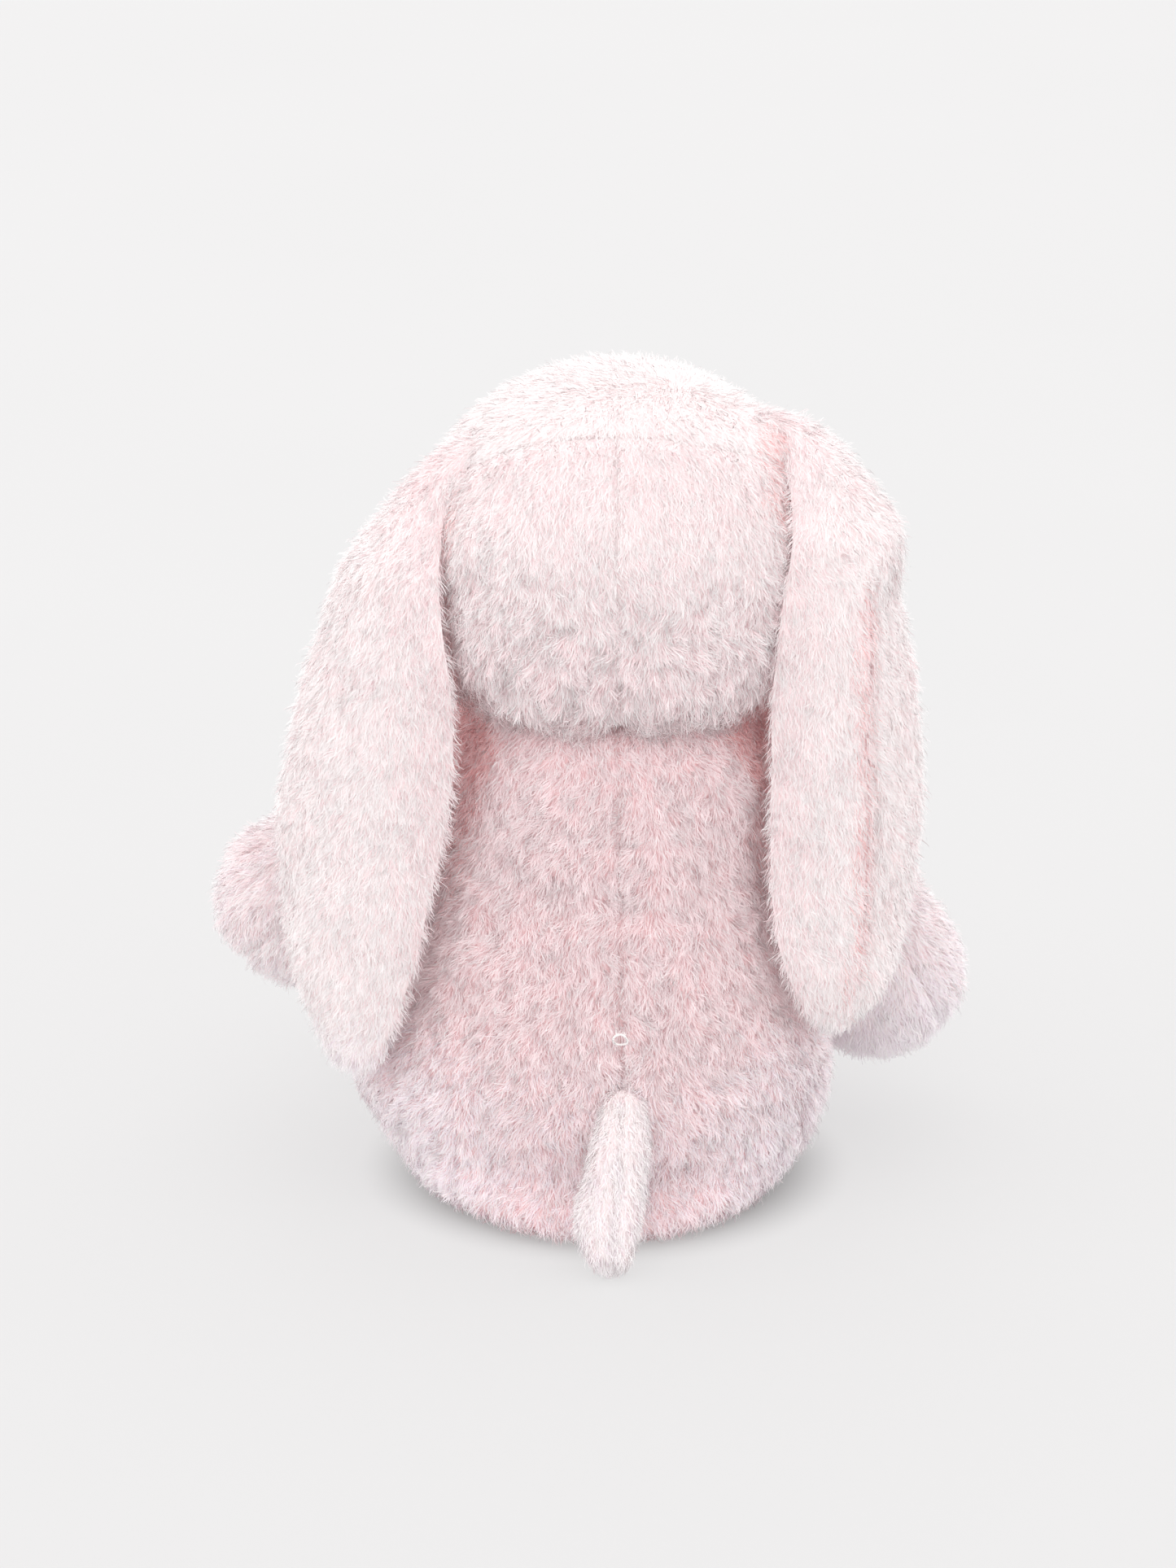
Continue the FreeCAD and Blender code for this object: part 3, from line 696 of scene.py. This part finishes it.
def panel(name, body, p, n, cols, stands_for, grow, rows=(0, None), across=None,
          wraps=False, bands=1, backing=PALE_BACKING):
    """One sewn panel: its skin, and its pile in one or more bands of rows."""
    take = (slice(*rows), np.arange(*cols) % p.shape[1])
    part, up = p[take], n[take]
    skin = shell(name + "_skin", part, up, backing, wraps)
    settle(skin, body, stands_for, across)
    if wraps:
        part, up = np.concatenate([part, part[:, :1]], 1), np.concatenate([up, up[:, :1]], 1)
    cuts = np.linspace(0, len(part) - 1, bands + 1).astype(int)
    for k in range(bands):
        inner = slice(cuts[k], cuts[k + 1] + 1)
        first, last, top, bottom = grow["edges"]
        edges = (first, last, top * (k == 0), bottom * (k == bands - 1))
        strands = pile(f"{name}_pile_{k + 1}", part[inner], up[inner], **dict(grow, edges=edges))
        settle(strands, body, (), across)


def torso_form():
    """The torso, puffed, with its seams and creases drawn in."""
    p = torso_grid()
    n = grid_normals(p)
    p = p + n * 2.2 * noise(p, 42.0)[..., :1]
    p = puffed("torso", p, held_at(p, TORSO_SEAMS), cap=5.0)
    n = grid_normals(p)
    p = pinch(p, n, TORSO_SEAMS, SEAM_DEEP, SEAM_WIDE)
    for crease in BACK_CREASES:
        p = groove(p, n, *crease)
    p[..., 0] += 1.3 * np.sin(p[..., 2] / 11) * np.sin(p[..., 2] / 29) * step(40, 60, p[..., 1])
    p[..., 2] = np.maximum(p[..., 2], 0.4)
    return p


def make_torso():
    p = torso_form()
    n = grid_normals(p)

    def fluffy(q):
        return 8.0 - 1.0 * (1 - step(6, 40, q[:, 2])) - 0.5 * step(200, 232, q[:, 2])

    def lean(q):
        return 58 + 14 * (1 - step(8, 60, q[:, 2])) + 6 * step(205, 230, q[:, 2])

    clear_of_floor = by_height(2, 14, 0.25, 1.0)
    back = dict(per_mm2=1.8, length=fluffy, lean_deg=lean, tuft=1.0, spare=clear_of_floor,
                edges=(1, 1, 0, 0), tones=(0.12, 0.88))
    front = dict(back, per_mm2=1.0, tuft=0.7)
    columns = [*TORSO_SEAMS, ROUND]
    for k, part in enumerate(("back_left", "back_right", "front_right", "front_left")):
        is_back = part.startswith("back")
        cad = (f"torso_{part}_panel", "torso_stuffing") if k == 0 else (f"torso_{part}_panel",)
        panel(f"torso_{part}", "torso", p, n, (columns[k], columns[k + 1] + 1), cad,
              back if is_back else front, across=NECK, bands=2 if is_back else 1, backing=BACKING)
    make_seat(p[0])


def make_seat(rim):
    """The seat's base: a low dish from its middle out to the torso's bottom row."""
    shares = np.linspace(0.02, 1.0, 14)[:, None, None]
    middle = np.array([rim[:, 0].mean(), 0.0, 2.6])
    p = middle + (rim[None, :, :] - middle) * shares
    p[..., 2] = 2.2 - 1.8 * shares[..., 0] ** 3
    p = p[::-1]
    n = -np.abs(grid_normals(p)) * [0, 0, 1]
    seat = shell("seat_base_skin", p[:, ::-1], n[:, ::-1], BASE_CLOTH, True)
    settle(seat, "torso", ("seat_base_panel",))


def head_form():
    """The head, puffed, with its seams drawn in."""
    p = head_grid()
    n = grid_normals(p)
    p = p + n * 1.6 * noise(p, 48.0)[..., :1]
    _, crown_seam, brow = HEAD_SEAMS
    held = held_at(p, HEAD_SEAMS)
    held[HEAD_ROWS // 2, brow:] = 1
    held[HEAD_ROWS // 2, :crown_seam] = 1
    p = puffed("head", p, held, cap=4.0)
    n = grid_normals(p)
    p = pinch(p, n, (crown_seam, brow), 1.2, 3.5)
    aside = np.abs(np.arange(HEAD_ROWS) - HEAD_ROWS // 2)[:, None] * HEAD_ROW_GAP
    seam = np.zeros(ROUND)
    seam[:crown_seam] = 1
    seam[brow:] = 0.6
    p = p - n * (1.1 * np.exp(-(aside / 3.5) ** 2) * seam)[..., None]
    p[..., 0] += np.sin(p[..., 2] / 10) * np.sin(p[..., 2] / 23) * step(30, 50, p[..., 1])
    return p


def make_head():
    p = head_form()
    n = grid_normals(p)

    def fluffy(q):
        return 7.5 + 2.0 * (1 - step(262, 335, q[:, 2])) + 3.0 * (1 - step(240, 262, q[:, 2]))

    def face(q):
        return 1 - 0.97 * near_face(q)

    def outwards(q):
        return 1.1 * (q - HEAD_AT) * [0.9, 1, 0] / 85

    def nap(q):
        return np.array([0, 0.25, -1.0]) + outwards(q)

    def brushed_aside(q):
        """Over the crown the pile turns from back to front by way of the left, so it has no parting."""
        aside = 0.55 * (1 - step(20, 48, q[:, 1:2] - HEAD_AT[1]))
        return np.array([0, -0.2, -1.0]) + aside * [1, 0, 0] + outwards(q)

    # Creamier up the head and all cream over the crown, pinker lower down: painted light on top, painted
    # shade beneath.
    cream = by_height(262, 340, 0.36, 1.46)
    back = dict(per_mm2=1.9, length=fluffy, lean_deg=by_height(270, 345, 60, 74),
                tuft=by_height(285, 350, 1.15, 0.45), nap=nap, tones=(cream, 0.65))
    crown = dict(back, length=6.5, lean_deg=76, tuft=0.15, nap=brushed_aside, tones=(1.0, 0.02))
    cheek = dict(back, per_mm2=1.2, tuft=0.5, length=7.5, lean_deg=66, spare=face)
    right, left = (0, HEAD_ROWS // 2 + 1), (HEAD_ROWS // 2, HEAD_ROWS)
    nape, crown_seam, brow = HEAD_SEAMS
    plan = [
        ("head_back_right", right, (nape, crown_seam + 1), ("head_stuffing",), back, (1, 1, 0, 1)),
        ("head_back_left", left, (nape, crown_seam + 1), (), back, (1, 1, 1, 0)),
        ("head_crown", (0, HEAD_ROWS), (crown_seam, brow + 1), (), crown, (1, 1, 0, 0)),
        ("head_cheek_right", right, (brow, ROUND + 1), (), cheek, (1, 0, 0, 1)),
        ("head_cheek_left", left, (brow, ROUND + 1), (), cheek, (1, 0, 1, 0)),
    ]
    for name, rows, cols, extra, grow, edges in plan:
        panel(name, "head", p, n, cols, (name + "_panel", *extra), dict(grow, edges=edges), rows)


def near_face(q):
    """1 at the eyes, 0 a little way off."""
    found = np.zeros(q.shape[:-1])
    for side in ("left", "right"):
        low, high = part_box("eye_" + side)
        at = np.array([(low.x + high.x) / 2, low.y + EYE_DOME * MM, (low.z + high.z) / 2]) / MM
        found = np.maximum(found, 1 - step(8.5, 12.5, np.linalg.norm(q - at, axis=-1)))
    return found


def make_muzzle():
    p = dome_grid(MUZZLE_AT, MUZZLE_SEMI)
    n = grid_normals(p)

    def short(q):
        """Short pile at the nose, longer round it."""
        d = q - MUZZLE_AT
        nose = np.hypot(d[:, 0] / 15, (d[:, 2] - 15) / 10)
        return 2.2 + 4.0 * step(0.9, 2.2, nose)

    def bare(q):
        """No pile under the nose and mouth stitches."""
        d = q - MUZZLE_AT
        nose = np.hypot(d[..., 0] / 12.6, (d[..., 2] - 15) / 8.2)
        line = (np.abs(d[..., 0]) < 2.2) & (d[..., 2] > 2) & (d[..., 2] < 10)
        arms = (np.abs(d[..., 2] - 4 + 0.85 * np.abs(d[..., 0])) < 2.4) & (np.abs(d[..., 0]) < 14.5)
        return np.where((nose < 1) | line | arms, 0.0, 1.0)

    def nap(q):
        return (q - MUZZLE_AT) * [1, 0, 1] + np.array([0, 18, -8.0])

    grow = dict(per_mm2=1.3, length=short, lean_deg=66, tuft=0.3, nap=nap, edges=(0, 0, 0, 0), spare=bare,
                tones=(0.9, 0.2), width=0.36)
    cad = ("muzzle_panel", "muzzle_stuffing")
    panel("muzzle", "head", p, n, (0, p.shape[1]), cad, grow, wraps=True)


def make_ear(side, rows):
    is_right = side == "right"
    p = ear_grid(rows, is_right)
    n = grid_normals(p)
    half = EAR_ROUND // 2

    # Where the right ear's fold crease gets painted shade.
    def fold_crease_shade(q):
        line = EAR_FOLD_X + 8 * step(150, 110, q[:, 2])
        reach = step(100, 130, q[:, 2]) * (1 - step(285, 315, q[:, 2]))
        return is_right * bump_at(q[:, 0], line, 3.5) * reach

    # Rosier along the inner edge beside the head, and in the right ear's fold: painted shade.
    def rosy(q):
        return 0.18 + 0.8 * bump_at(np.abs(q[:, 0]), 74, 17) + fold_crease_shade(q)

    # Deep pile in the fold: painted shade.
    def deep(q):
        return 0.5 * fold_crease_shade(q)

    nap = (-0.16 if is_right else 0.16, 0, -1.0)
    outer = dict(per_mm2=1.8, length=7.0, lean_deg=73, tuft=0.5, nap=nap, tones=(0.95, rosy, 0, deep),
                 edges=(1, 1, 0, 0), edge_share=1.15, edge_reach=7.0, sweep=-0.4)
    lining = dict(outer, per_mm2=1.2, length=6.5, tones=(0.4, 0.6))
    spans = [(0, half + 1), (half, EAR_ROUND + 1)]
    outer_first = p[:, :half + 1, 1].mean() > p[:, half:, 1].mean()
    for span, is_outer in zip(spans, (outer_first, not outer_first)):
        name = f"ear_{side}_outer" if is_outer else f"ear_{side}_lining"
        cad = (name + "_panel", f"ear_{side}_root_seam") if is_outer else (name,)
        panel(name, f"ear_{side}", p, n, span, cad, outer if is_outer else lining)


def make_arm(side):
    name = f"arm_{side}"
    begin, finish, radii = LIMBS[name]
    p = limb_grid(begin, finish, radii)
    n = grid_normals(p)
    p = p + n * 1.5 * noise(p, 30.0)[..., :1]
    around = p.shape[1]
    half = around // 2
    p = puffed(name, p, held_at(p, (0, half)), cap=4.0)
    n = grid_normals(p)
    p = pinch(p, n, (0, half), 2.0, 4.0)
    n = grid_normals(p)
    axis = unit(np.array(finish, float) - np.array(begin))

    def nap(q):
        return 0.5 * axis + np.array([0, 0, -0.8]) + 0.1 * noise(q, 40.0)

    grow = dict(per_mm2=1.5, length=9.0, lean_deg=62, tuft=0.7, nap=nap, edges=(1, 1, 0, 0),
                edge_share=0.75, tones=(0.5, 0.38, 0.2))
    first, second = ("outer", "inner") if side == "left" else ("inner", "outer")
    sewn_halves(name, p, n, {first: (0, half + 1), second: (half, around + 1)}, grow)


def sewn_halves(name, p, n, halves, grow):
    """A limb's outer and inner panel, each with its span of columns."""
    for part, cols in halves.items():
        extra = (f"{name}_stuffing",) if part == "outer" else ()
        panel(f"{name}_{part}", name, p, n, cols, (f"{name}_{part}_panel", *extra), grow)


def make_leg(side):
    name = f"leg_{side}"
    p = leg_grid(side)
    n = grid_normals(p)
    p = p + n * 1.3 * noise(p, 34.0)[..., :1] * step(SOLE_Y, SOLE_Y + 12, p[..., 1])[..., None]
    around = p.shape[1]
    half = around // 2
    held = held_at(p, (0, half))
    held = np.maximum(held, 1 - step(SOLE_Y + 2, SOLE_Y + 8, p[..., 1]))
    p = puffed(name, p, held, cap=3.0)
    p[..., 2] = np.maximum(p[..., 2], 2.5)
    n = grid_normals(p)
    sign = 1 if side == "left" else -1
    toes = np.array([sign * TOES[0], SOLE_Y, SOLE_Z])

    def clear_of_sole(q):
        """No pile under the sole pad, and less of it near the floor."""
        d = (q - toes) / [SOLE_HALF + 0.5, 1, SOLE_TALL + 0.5]
        on_pad = (np.hypot(d[..., 0], d[..., 2]) < 1) & (q[..., 1] < SOLE_Y + 5)
        return np.where(on_pad, 0.0, 1.0) * (0.3 + 0.7 * step(3, 12, q[..., 2]))

    grow = dict(per_mm2=1.2, length=8.5, lean_deg=66, tuft=0.6, nap=(0, -0.35, -0.8), edges=(1, 1, 0, 0),
                edge_share=0.75, spare=clear_of_sole)
    first, second = (0, half + 1), (half, around + 1)
    outer, inner = (second, first) if side == "left" else (first, second)
    sewn_halves(name, p, n, {"outer": outer, "inner": inner}, grow)
    make_sole(side, toes)


def make_sole(side, at):
    """A sole pad: a low cushion with a turned edge and a short velvet pile."""
    share = np.linspace(0.004, 1, 16)[:, None]
    turn = ring_angles(56)[None, :]
    rise = 2.6 * np.sqrt(np.clip(1 - share ** 4, 0, 1)) + 0.4
    ring = np.cos(turn), np.sin(turn)
    p = np.stack([SOLE_HALF * share * ring[0], -rise + 0 * turn, SOLE_TALL * share * ring[1]], -1) + at
    n = grid_normals(p)
    if n[..., 1].mean() > 0:
        p = other_way(p)
        n = grid_normals(p)
    skin = shell(f"foot_{side}_sole_skin", p, n, SOLE_CLOTH, True)
    settle(skin, f"leg_{side}", (f"foot_{side}_sole_pad",))


def make_tail():
    """The tail: a narrow pouch with a crease down its back."""
    begin, finish, radii = LIMBS["tail"]
    p = limb_grid(begin, finish, radii, rows=22, around=40)
    n = grid_normals(p)
    along = step(65, 14, p[..., 2])
    p = p + n * (1.6 * noise(p, 20.0)[..., :1])
    p[..., 0] += 4.5 * bump_at(p[..., 2], 24, 12) * step(-6, 8, p[..., 0]) - 2.0 * (1 - along)
    around = p.shape[1]
    half = around // 2
    p = puffed("tail", p, held_at(p, (0, half)), cap=1.5)
    p[..., 2] = np.maximum(p[..., 2], 1.5)
    n = grid_normals(p)
    up_side = step(0.2, 0.8, n[..., 1])
    p = p - n * (3.0 * bump_at(p[..., 0], 2.0 * (along - 1) - 4.0, 2.5) * up_side)[..., None]
    n = grid_normals(p)

    grow = dict(per_mm2=2.0, length=7.0, lean_deg=70, tuft=0.35, nap=(0.02, 0.45, -0.9), edges=(1, 1, 0, 0),
                edge_reach=4.0, tones=(2.0, 0.06))
    upper = ("tail_upper_panel", "tail_stuffing")
    panel("tail_lower", "tail", p, n, (0, half + 1), ("tail_lower_panel",), grow)
    panel("tail_upper", "tail", p, n, (half, around + 1), upper, grow)


# ---------------- thread, nose and mouth

def across_path(points):
    """Two directions square to a path and to each other, at each of its points."""
    ahead = unit(np.gradient(points, axis=0))
    first = unit(np.cross(ahead, [0.13, 0.2, 0.97]))
    return first, np.cross(ahead, first)


def tube(points, radius, sides=8):
    """Points and faces of a round thread along a path, its ends drawn in."""
    points = np.asarray(points, float)
    first, second = across_path(points)
    turn = ring_angles(sides)
    radius = np.full(len(points), float(radius))
    radius[[0, -1]] *= 0.35
    ring = np.cos(turn)[None, :, None] * first[:, None] + np.sin(turn)[None, :, None] * second[:, None]
    verts = (points[:, None] + ring * radius[:, None, None]).reshape(-1, 3)
    last = (len(points) - 1) * sides
    caps = [list(range(sides))[::-1], [last + k for k in range(sides)]]
    return verts, quads(len(points), sides, True) + caps


def threads(name, paths, material):
    """Several threads as one piece. paths holds (points, radius)."""
    verts, faces = [], []
    count = 0
    for points, radius in paths:
        v, f = tube(points, radius)
        faces += [[i + count for i in face] for face in f]
        verts.append(v)
        count += len(v)
    return new_piece(name, np.concatenate(verts), faces, [material])


def plied(points, radius, turns, plies=2):
    """The paths of the plies of a twisted thread."""
    points = np.asarray(points, float)
    first, second = across_path(points)
    t = np.linspace(0, 1, len(points))
    paths = []
    for k in range(plies):
        a = 2 * math.pi * (turns * t + k / plies)
        off = first * np.cos(a)[:, None] + second * np.sin(a)[:, None]
        paths.append((points + off * radius * 0.5, radius * 0.55))
    return paths


def make_nose():
    """Satin stitches side by side over a padded nose."""
    low, high = (np.array(c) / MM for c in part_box("nose_embroidery"))
    at = np.array([(low[0] + high[0]) / 2, MUZZLE_AT[1] - MUZZLE_SEMI[1] + 5.2, MUZZLE_AT[2] + 15])
    stitches = []
    for k, x in enumerate(np.linspace(-NOSE_HALF, NOSE_HALF, NOSE_STITCHES)):
        tall = 7.3 * math.sqrt(1 - (x / 12) ** 2) * (1 - 0.25 * step(0, 12, abs(x)))
        a = np.radians(np.linspace(-86, 86, 13))
        deep = 6.7 * math.sqrt(1 - (x / 12.4) ** 2)
        z = tall * np.sin(a) + 0.8
        points = np.stack([x + 0.25 * np.sin(3 * a), -deep * np.cos(a) - 0.35 * (k % 2), z], 1) + at
        stitches.append((points, 0.62))
    nose = threads("nose_stitches", stitches, ROSE_THREAD)
    settle(nose, "head", ("nose_embroidery",))


def on_muzzle(x, z):
    """A point 1 mm proud of the muzzle, from its place across and up from the muzzle's middle."""
    y = -MUZZLE_SEMI[1] * math.sqrt(max(0, 1 - (x / MUZZLE_SEMI[0]) ** 2 - (z / MUZZLE_SEMI[2]) ** 2))
    return MUZZLE_AT + [x, y - 1.0, z]


def make_mouth():
    """A short line of twisted cord that forks into two curves."""
    lines = [[(0, MOUTH_TOP + (MOUTH_FORK - MOUTH_TOP) * t) for t in np.linspace(0, 1, 14)]]
    for sign in (1, -1):
        lines.append([(sign * 13 * t, MOUTH_FORK - 11 * t ** 0.8 - 1.92 * math.sin(math.pi * t))
                      for t in np.linspace(0, 1, 26)])
    paths = []
    for line in lines:
        points = [on_muzzle(x, z) for x, z in line]
        paths += plied(points, 1.25, len(points) / 5.5)
    mouth = threads("mouth_stitches", paths, ROSE_THREAD)
    settle(mouth, "head", ("mouth_embroidery",))


def make_closing_seam():
    """Ladder stitches drawn deep into the middle seam, with a loose loop of thread near their lower end."""
    def back_at(z):
        return smooth([h for h, _ in TORSO_SHAPE], [r for _, r in TORSO_SHAPE], z) * DEPTH_SHARE

    paths = []
    side = 1
    for z in np.arange(106.0, 182.0, STITCH_RISE):
        points = []
        for t in np.linspace(0, 1, 9):
            height = z + STITCH_RISE * t
            x = BACK_SEAM_SHIFT + STITCH_HALF * side * (1 - 2 * t)
            points.append([x, back_at(height) - 3.7 + 0.8 * math.sin(math.pi * t), height])
        paths += plied(points, 0.45, 2.5)
        side = -side
    seam = threads("closing_seam_stitches", paths, WHITE_THREAD)
    settle(seam, "torso", ("closing_seam_thread",))

    x, y, z = BACK_SEAM_SHIFT, back_at(LOOP_Z) + 7.0, LOOP_Z
    t = np.linspace(0, 2 * math.pi, 49)
    ring = np.stack([
        x + 3.3 * np.cos(t) * (1 + 0.1 * np.sin(2 * t)),
        y + np.sin(t) + 0.8 * np.cos(2 * t),
        z + 2.9 * np.sin(t),
    ], 1)
    ends = [[[x + start + slant * k, y - 1.1 * k, z + 2.6 + rise * k] for k in range(9)]
            for start, slant, rise in ((1.6, 0.05, -0.1), (-2.2, 0.1, -0.25))]
    loop = threads("closing_seam_loop", [*plied(ring, 0.6, 10), *((end, 0.5) for end in ends)], WHITE_THREAD)
    settle(loop, "torso")


# ---------------- finishes of what stays as the CAD made it

BASE_CLOTH = cloth_material("base_cloth_brushed", (0.74, 0.52, 0.54), (0.86, 0.68, 0.69), 900.0)
SOLE_CLOTH = cloth_material("sole_velvet", (0.84, 0.64, 0.64), (0.93, 0.78, 0.78), 1100.0, bump=0.7)
ROSE_THREAD = cloth_material("rose_thread_twist", (0.50, 0.16, 0.20), (0.66, 0.27, 0.31), 1800.0, rough=0.5,
                             stretch=(1, 1, 0.25))
WHITE_THREAD = cloth_material("white_thread_twist", (0.86, 0.84, 0.83), (0.97, 0.96, 0.95), 1800.0, rough=0.6)


def finish_cad_nodes():
    eye = cloth_material("eye_polished", (0.010, 0.006, 0.005), (0.035, 0.018, 0.014), 160.0, rough=0.09,
                         bump=0.02)
    eye.node_tree.nodes["Principled BSDF"].inputs["Coat Weight"].default_value = 1.0
    finishes = {
        ("eye_left", "eye_right"): eye,
        ("eye_left_washer", "eye_right_washer"):
            cloth_material("washer_moulded", (0.78, 0.78, 0.76), (0.86, 0.86, 0.84), 400.0, rough=0.5),
        ("pellet_pouch",): cloth_material("pouch_weave", (0.80, 0.80, 0.77), (0.90, 0.90, 0.87), 1500.0),
        ("pellets",): cloth_material("pellets_heap", (0.70, 0.70, 0.68), (0.90, 0.90, 0.88), 330.0, rough=0.4,
                                     bump=1.0),
    }
    for names, material in finishes.items():
        for name in names:
            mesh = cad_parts[name].data
            mesh.materials.clear()
            mesh.materials.append(material)


# ---------------- studio

# Strengths of the sky, of the lamp and of the floor's glow; then, in metres, places and distances.
SKY, OVERHEAD, FLOOR_GLOW, SHADE_GLOW = 1.40, 0.3, 0.60, 0.12
SHADE_REACH = 0.065, 0.12
CAMERA_AT, CAMERA_TARGET = (0.0083, 3.007, 1.2868), (0.0083, 0, 0.1923)
FLOOR_HALF = 9e3  # in millimetres


def shade_under(tree, glow):
    """The floor glows less the nearer it is to the middle of the seat, as a contact shadow."""
    place = tree.nodes.new("ShaderNodeNewGeometry")
    away = tree.nodes.new("ShaderNodeVectorMath")
    away.operation = "LENGTH"
    tree.links.new(place.outputs["Position"], away.inputs[0])
    fade = tree.nodes.new("ShaderNodeMapRange")
    fade.interpolation_type = "SMOOTHSTEP"
    fade.inputs["From Min"].default_value, fade.inputs["From Max"].default_value = SHADE_REACH
    fade.inputs["To Min"].default_value = SHADE_GLOW
    fade.inputs["To Max"].default_value = FLOOR_GLOW
    tree.links.new(away.outputs["Value"], fade.inputs["Value"])
    tree.links.new(fade.outputs["Result"], glow)


def make_studio():
    scene = bpy.context.scene
    floor_cloth = cloth_material("floor_matt", (0.155, 0.155, 0.155), (0.165, 0.165, 0.165), 3.0, bump=0.0)
    lit_floor = floor_cloth.node_tree.nodes["Principled BSDF"]
    lit_floor.inputs["Emission Color"].default_value = (1, 1, 1, 1)
    shade_under(floor_cloth.node_tree, lit_floor.inputs["Emission Strength"])
    corners = [(x * FLOOR_HALF, y * FLOOR_HALF, -0.3) for x, y in ((-1, -1), (1, -1), (1, 1), (-1, 1))]
    floor = new_piece("floor", corners, [[0, 1, 2, 3]], [floor_cloth])
    world = scene.world or bpy.data.worlds.new("studio")
    scene.world = world
    world.use_nodes = True
    sky = world.node_tree.nodes["Background"]
    sky.inputs["Color"].default_value = (1.0, 0.972, 0.972, 1)
    sky.inputs["Strength"].default_value = SKY
    light = bpy.data.lights.new("overhead", "SUN")
    light.energy, light.angle = OVERHEAD, math.radians(70)
    aimed("overhead", light, (0.3, 0.9, 2.0), (0, 0, 0))
    camera = bpy.data.cameras.new("camera")
    camera.lens, camera.sensor_width = 157.5, 36.0
    scene.camera = aimed("camera", camera, CAMERA_AT, CAMERA_TARGET)
    scene.cycles.diffuse_bounces = 8
    scene.view_settings.view_transform = "Standard"
    scene.view_settings.look = "None"


def aimed(name, data, at, target):
    """A light or camera at a place, looking at the target."""
    ob = bpy.data.objects.new(name, data)
    bpy.context.scene.collection.objects.link(ob)
    ob.location = at
    ob.rotation_euler = (Vector(target) - ob.location).to_track_quat("-Z", "Y").to_euler()
    return ob


make_studio()
make_torso()
make_head()
make_muzzle()
for side_name, ear_rows in (("left", EAR_LEFT), ("right", EAR_RIGHT)):
    make_ear(side_name, ear_rows)
for side_name in ("left", "right"):
    make_arm(side_name)
    make_leg(side_name)
make_tail()
make_nose()
make_mouth()
make_closing_seam()
finish_cad_nodes()
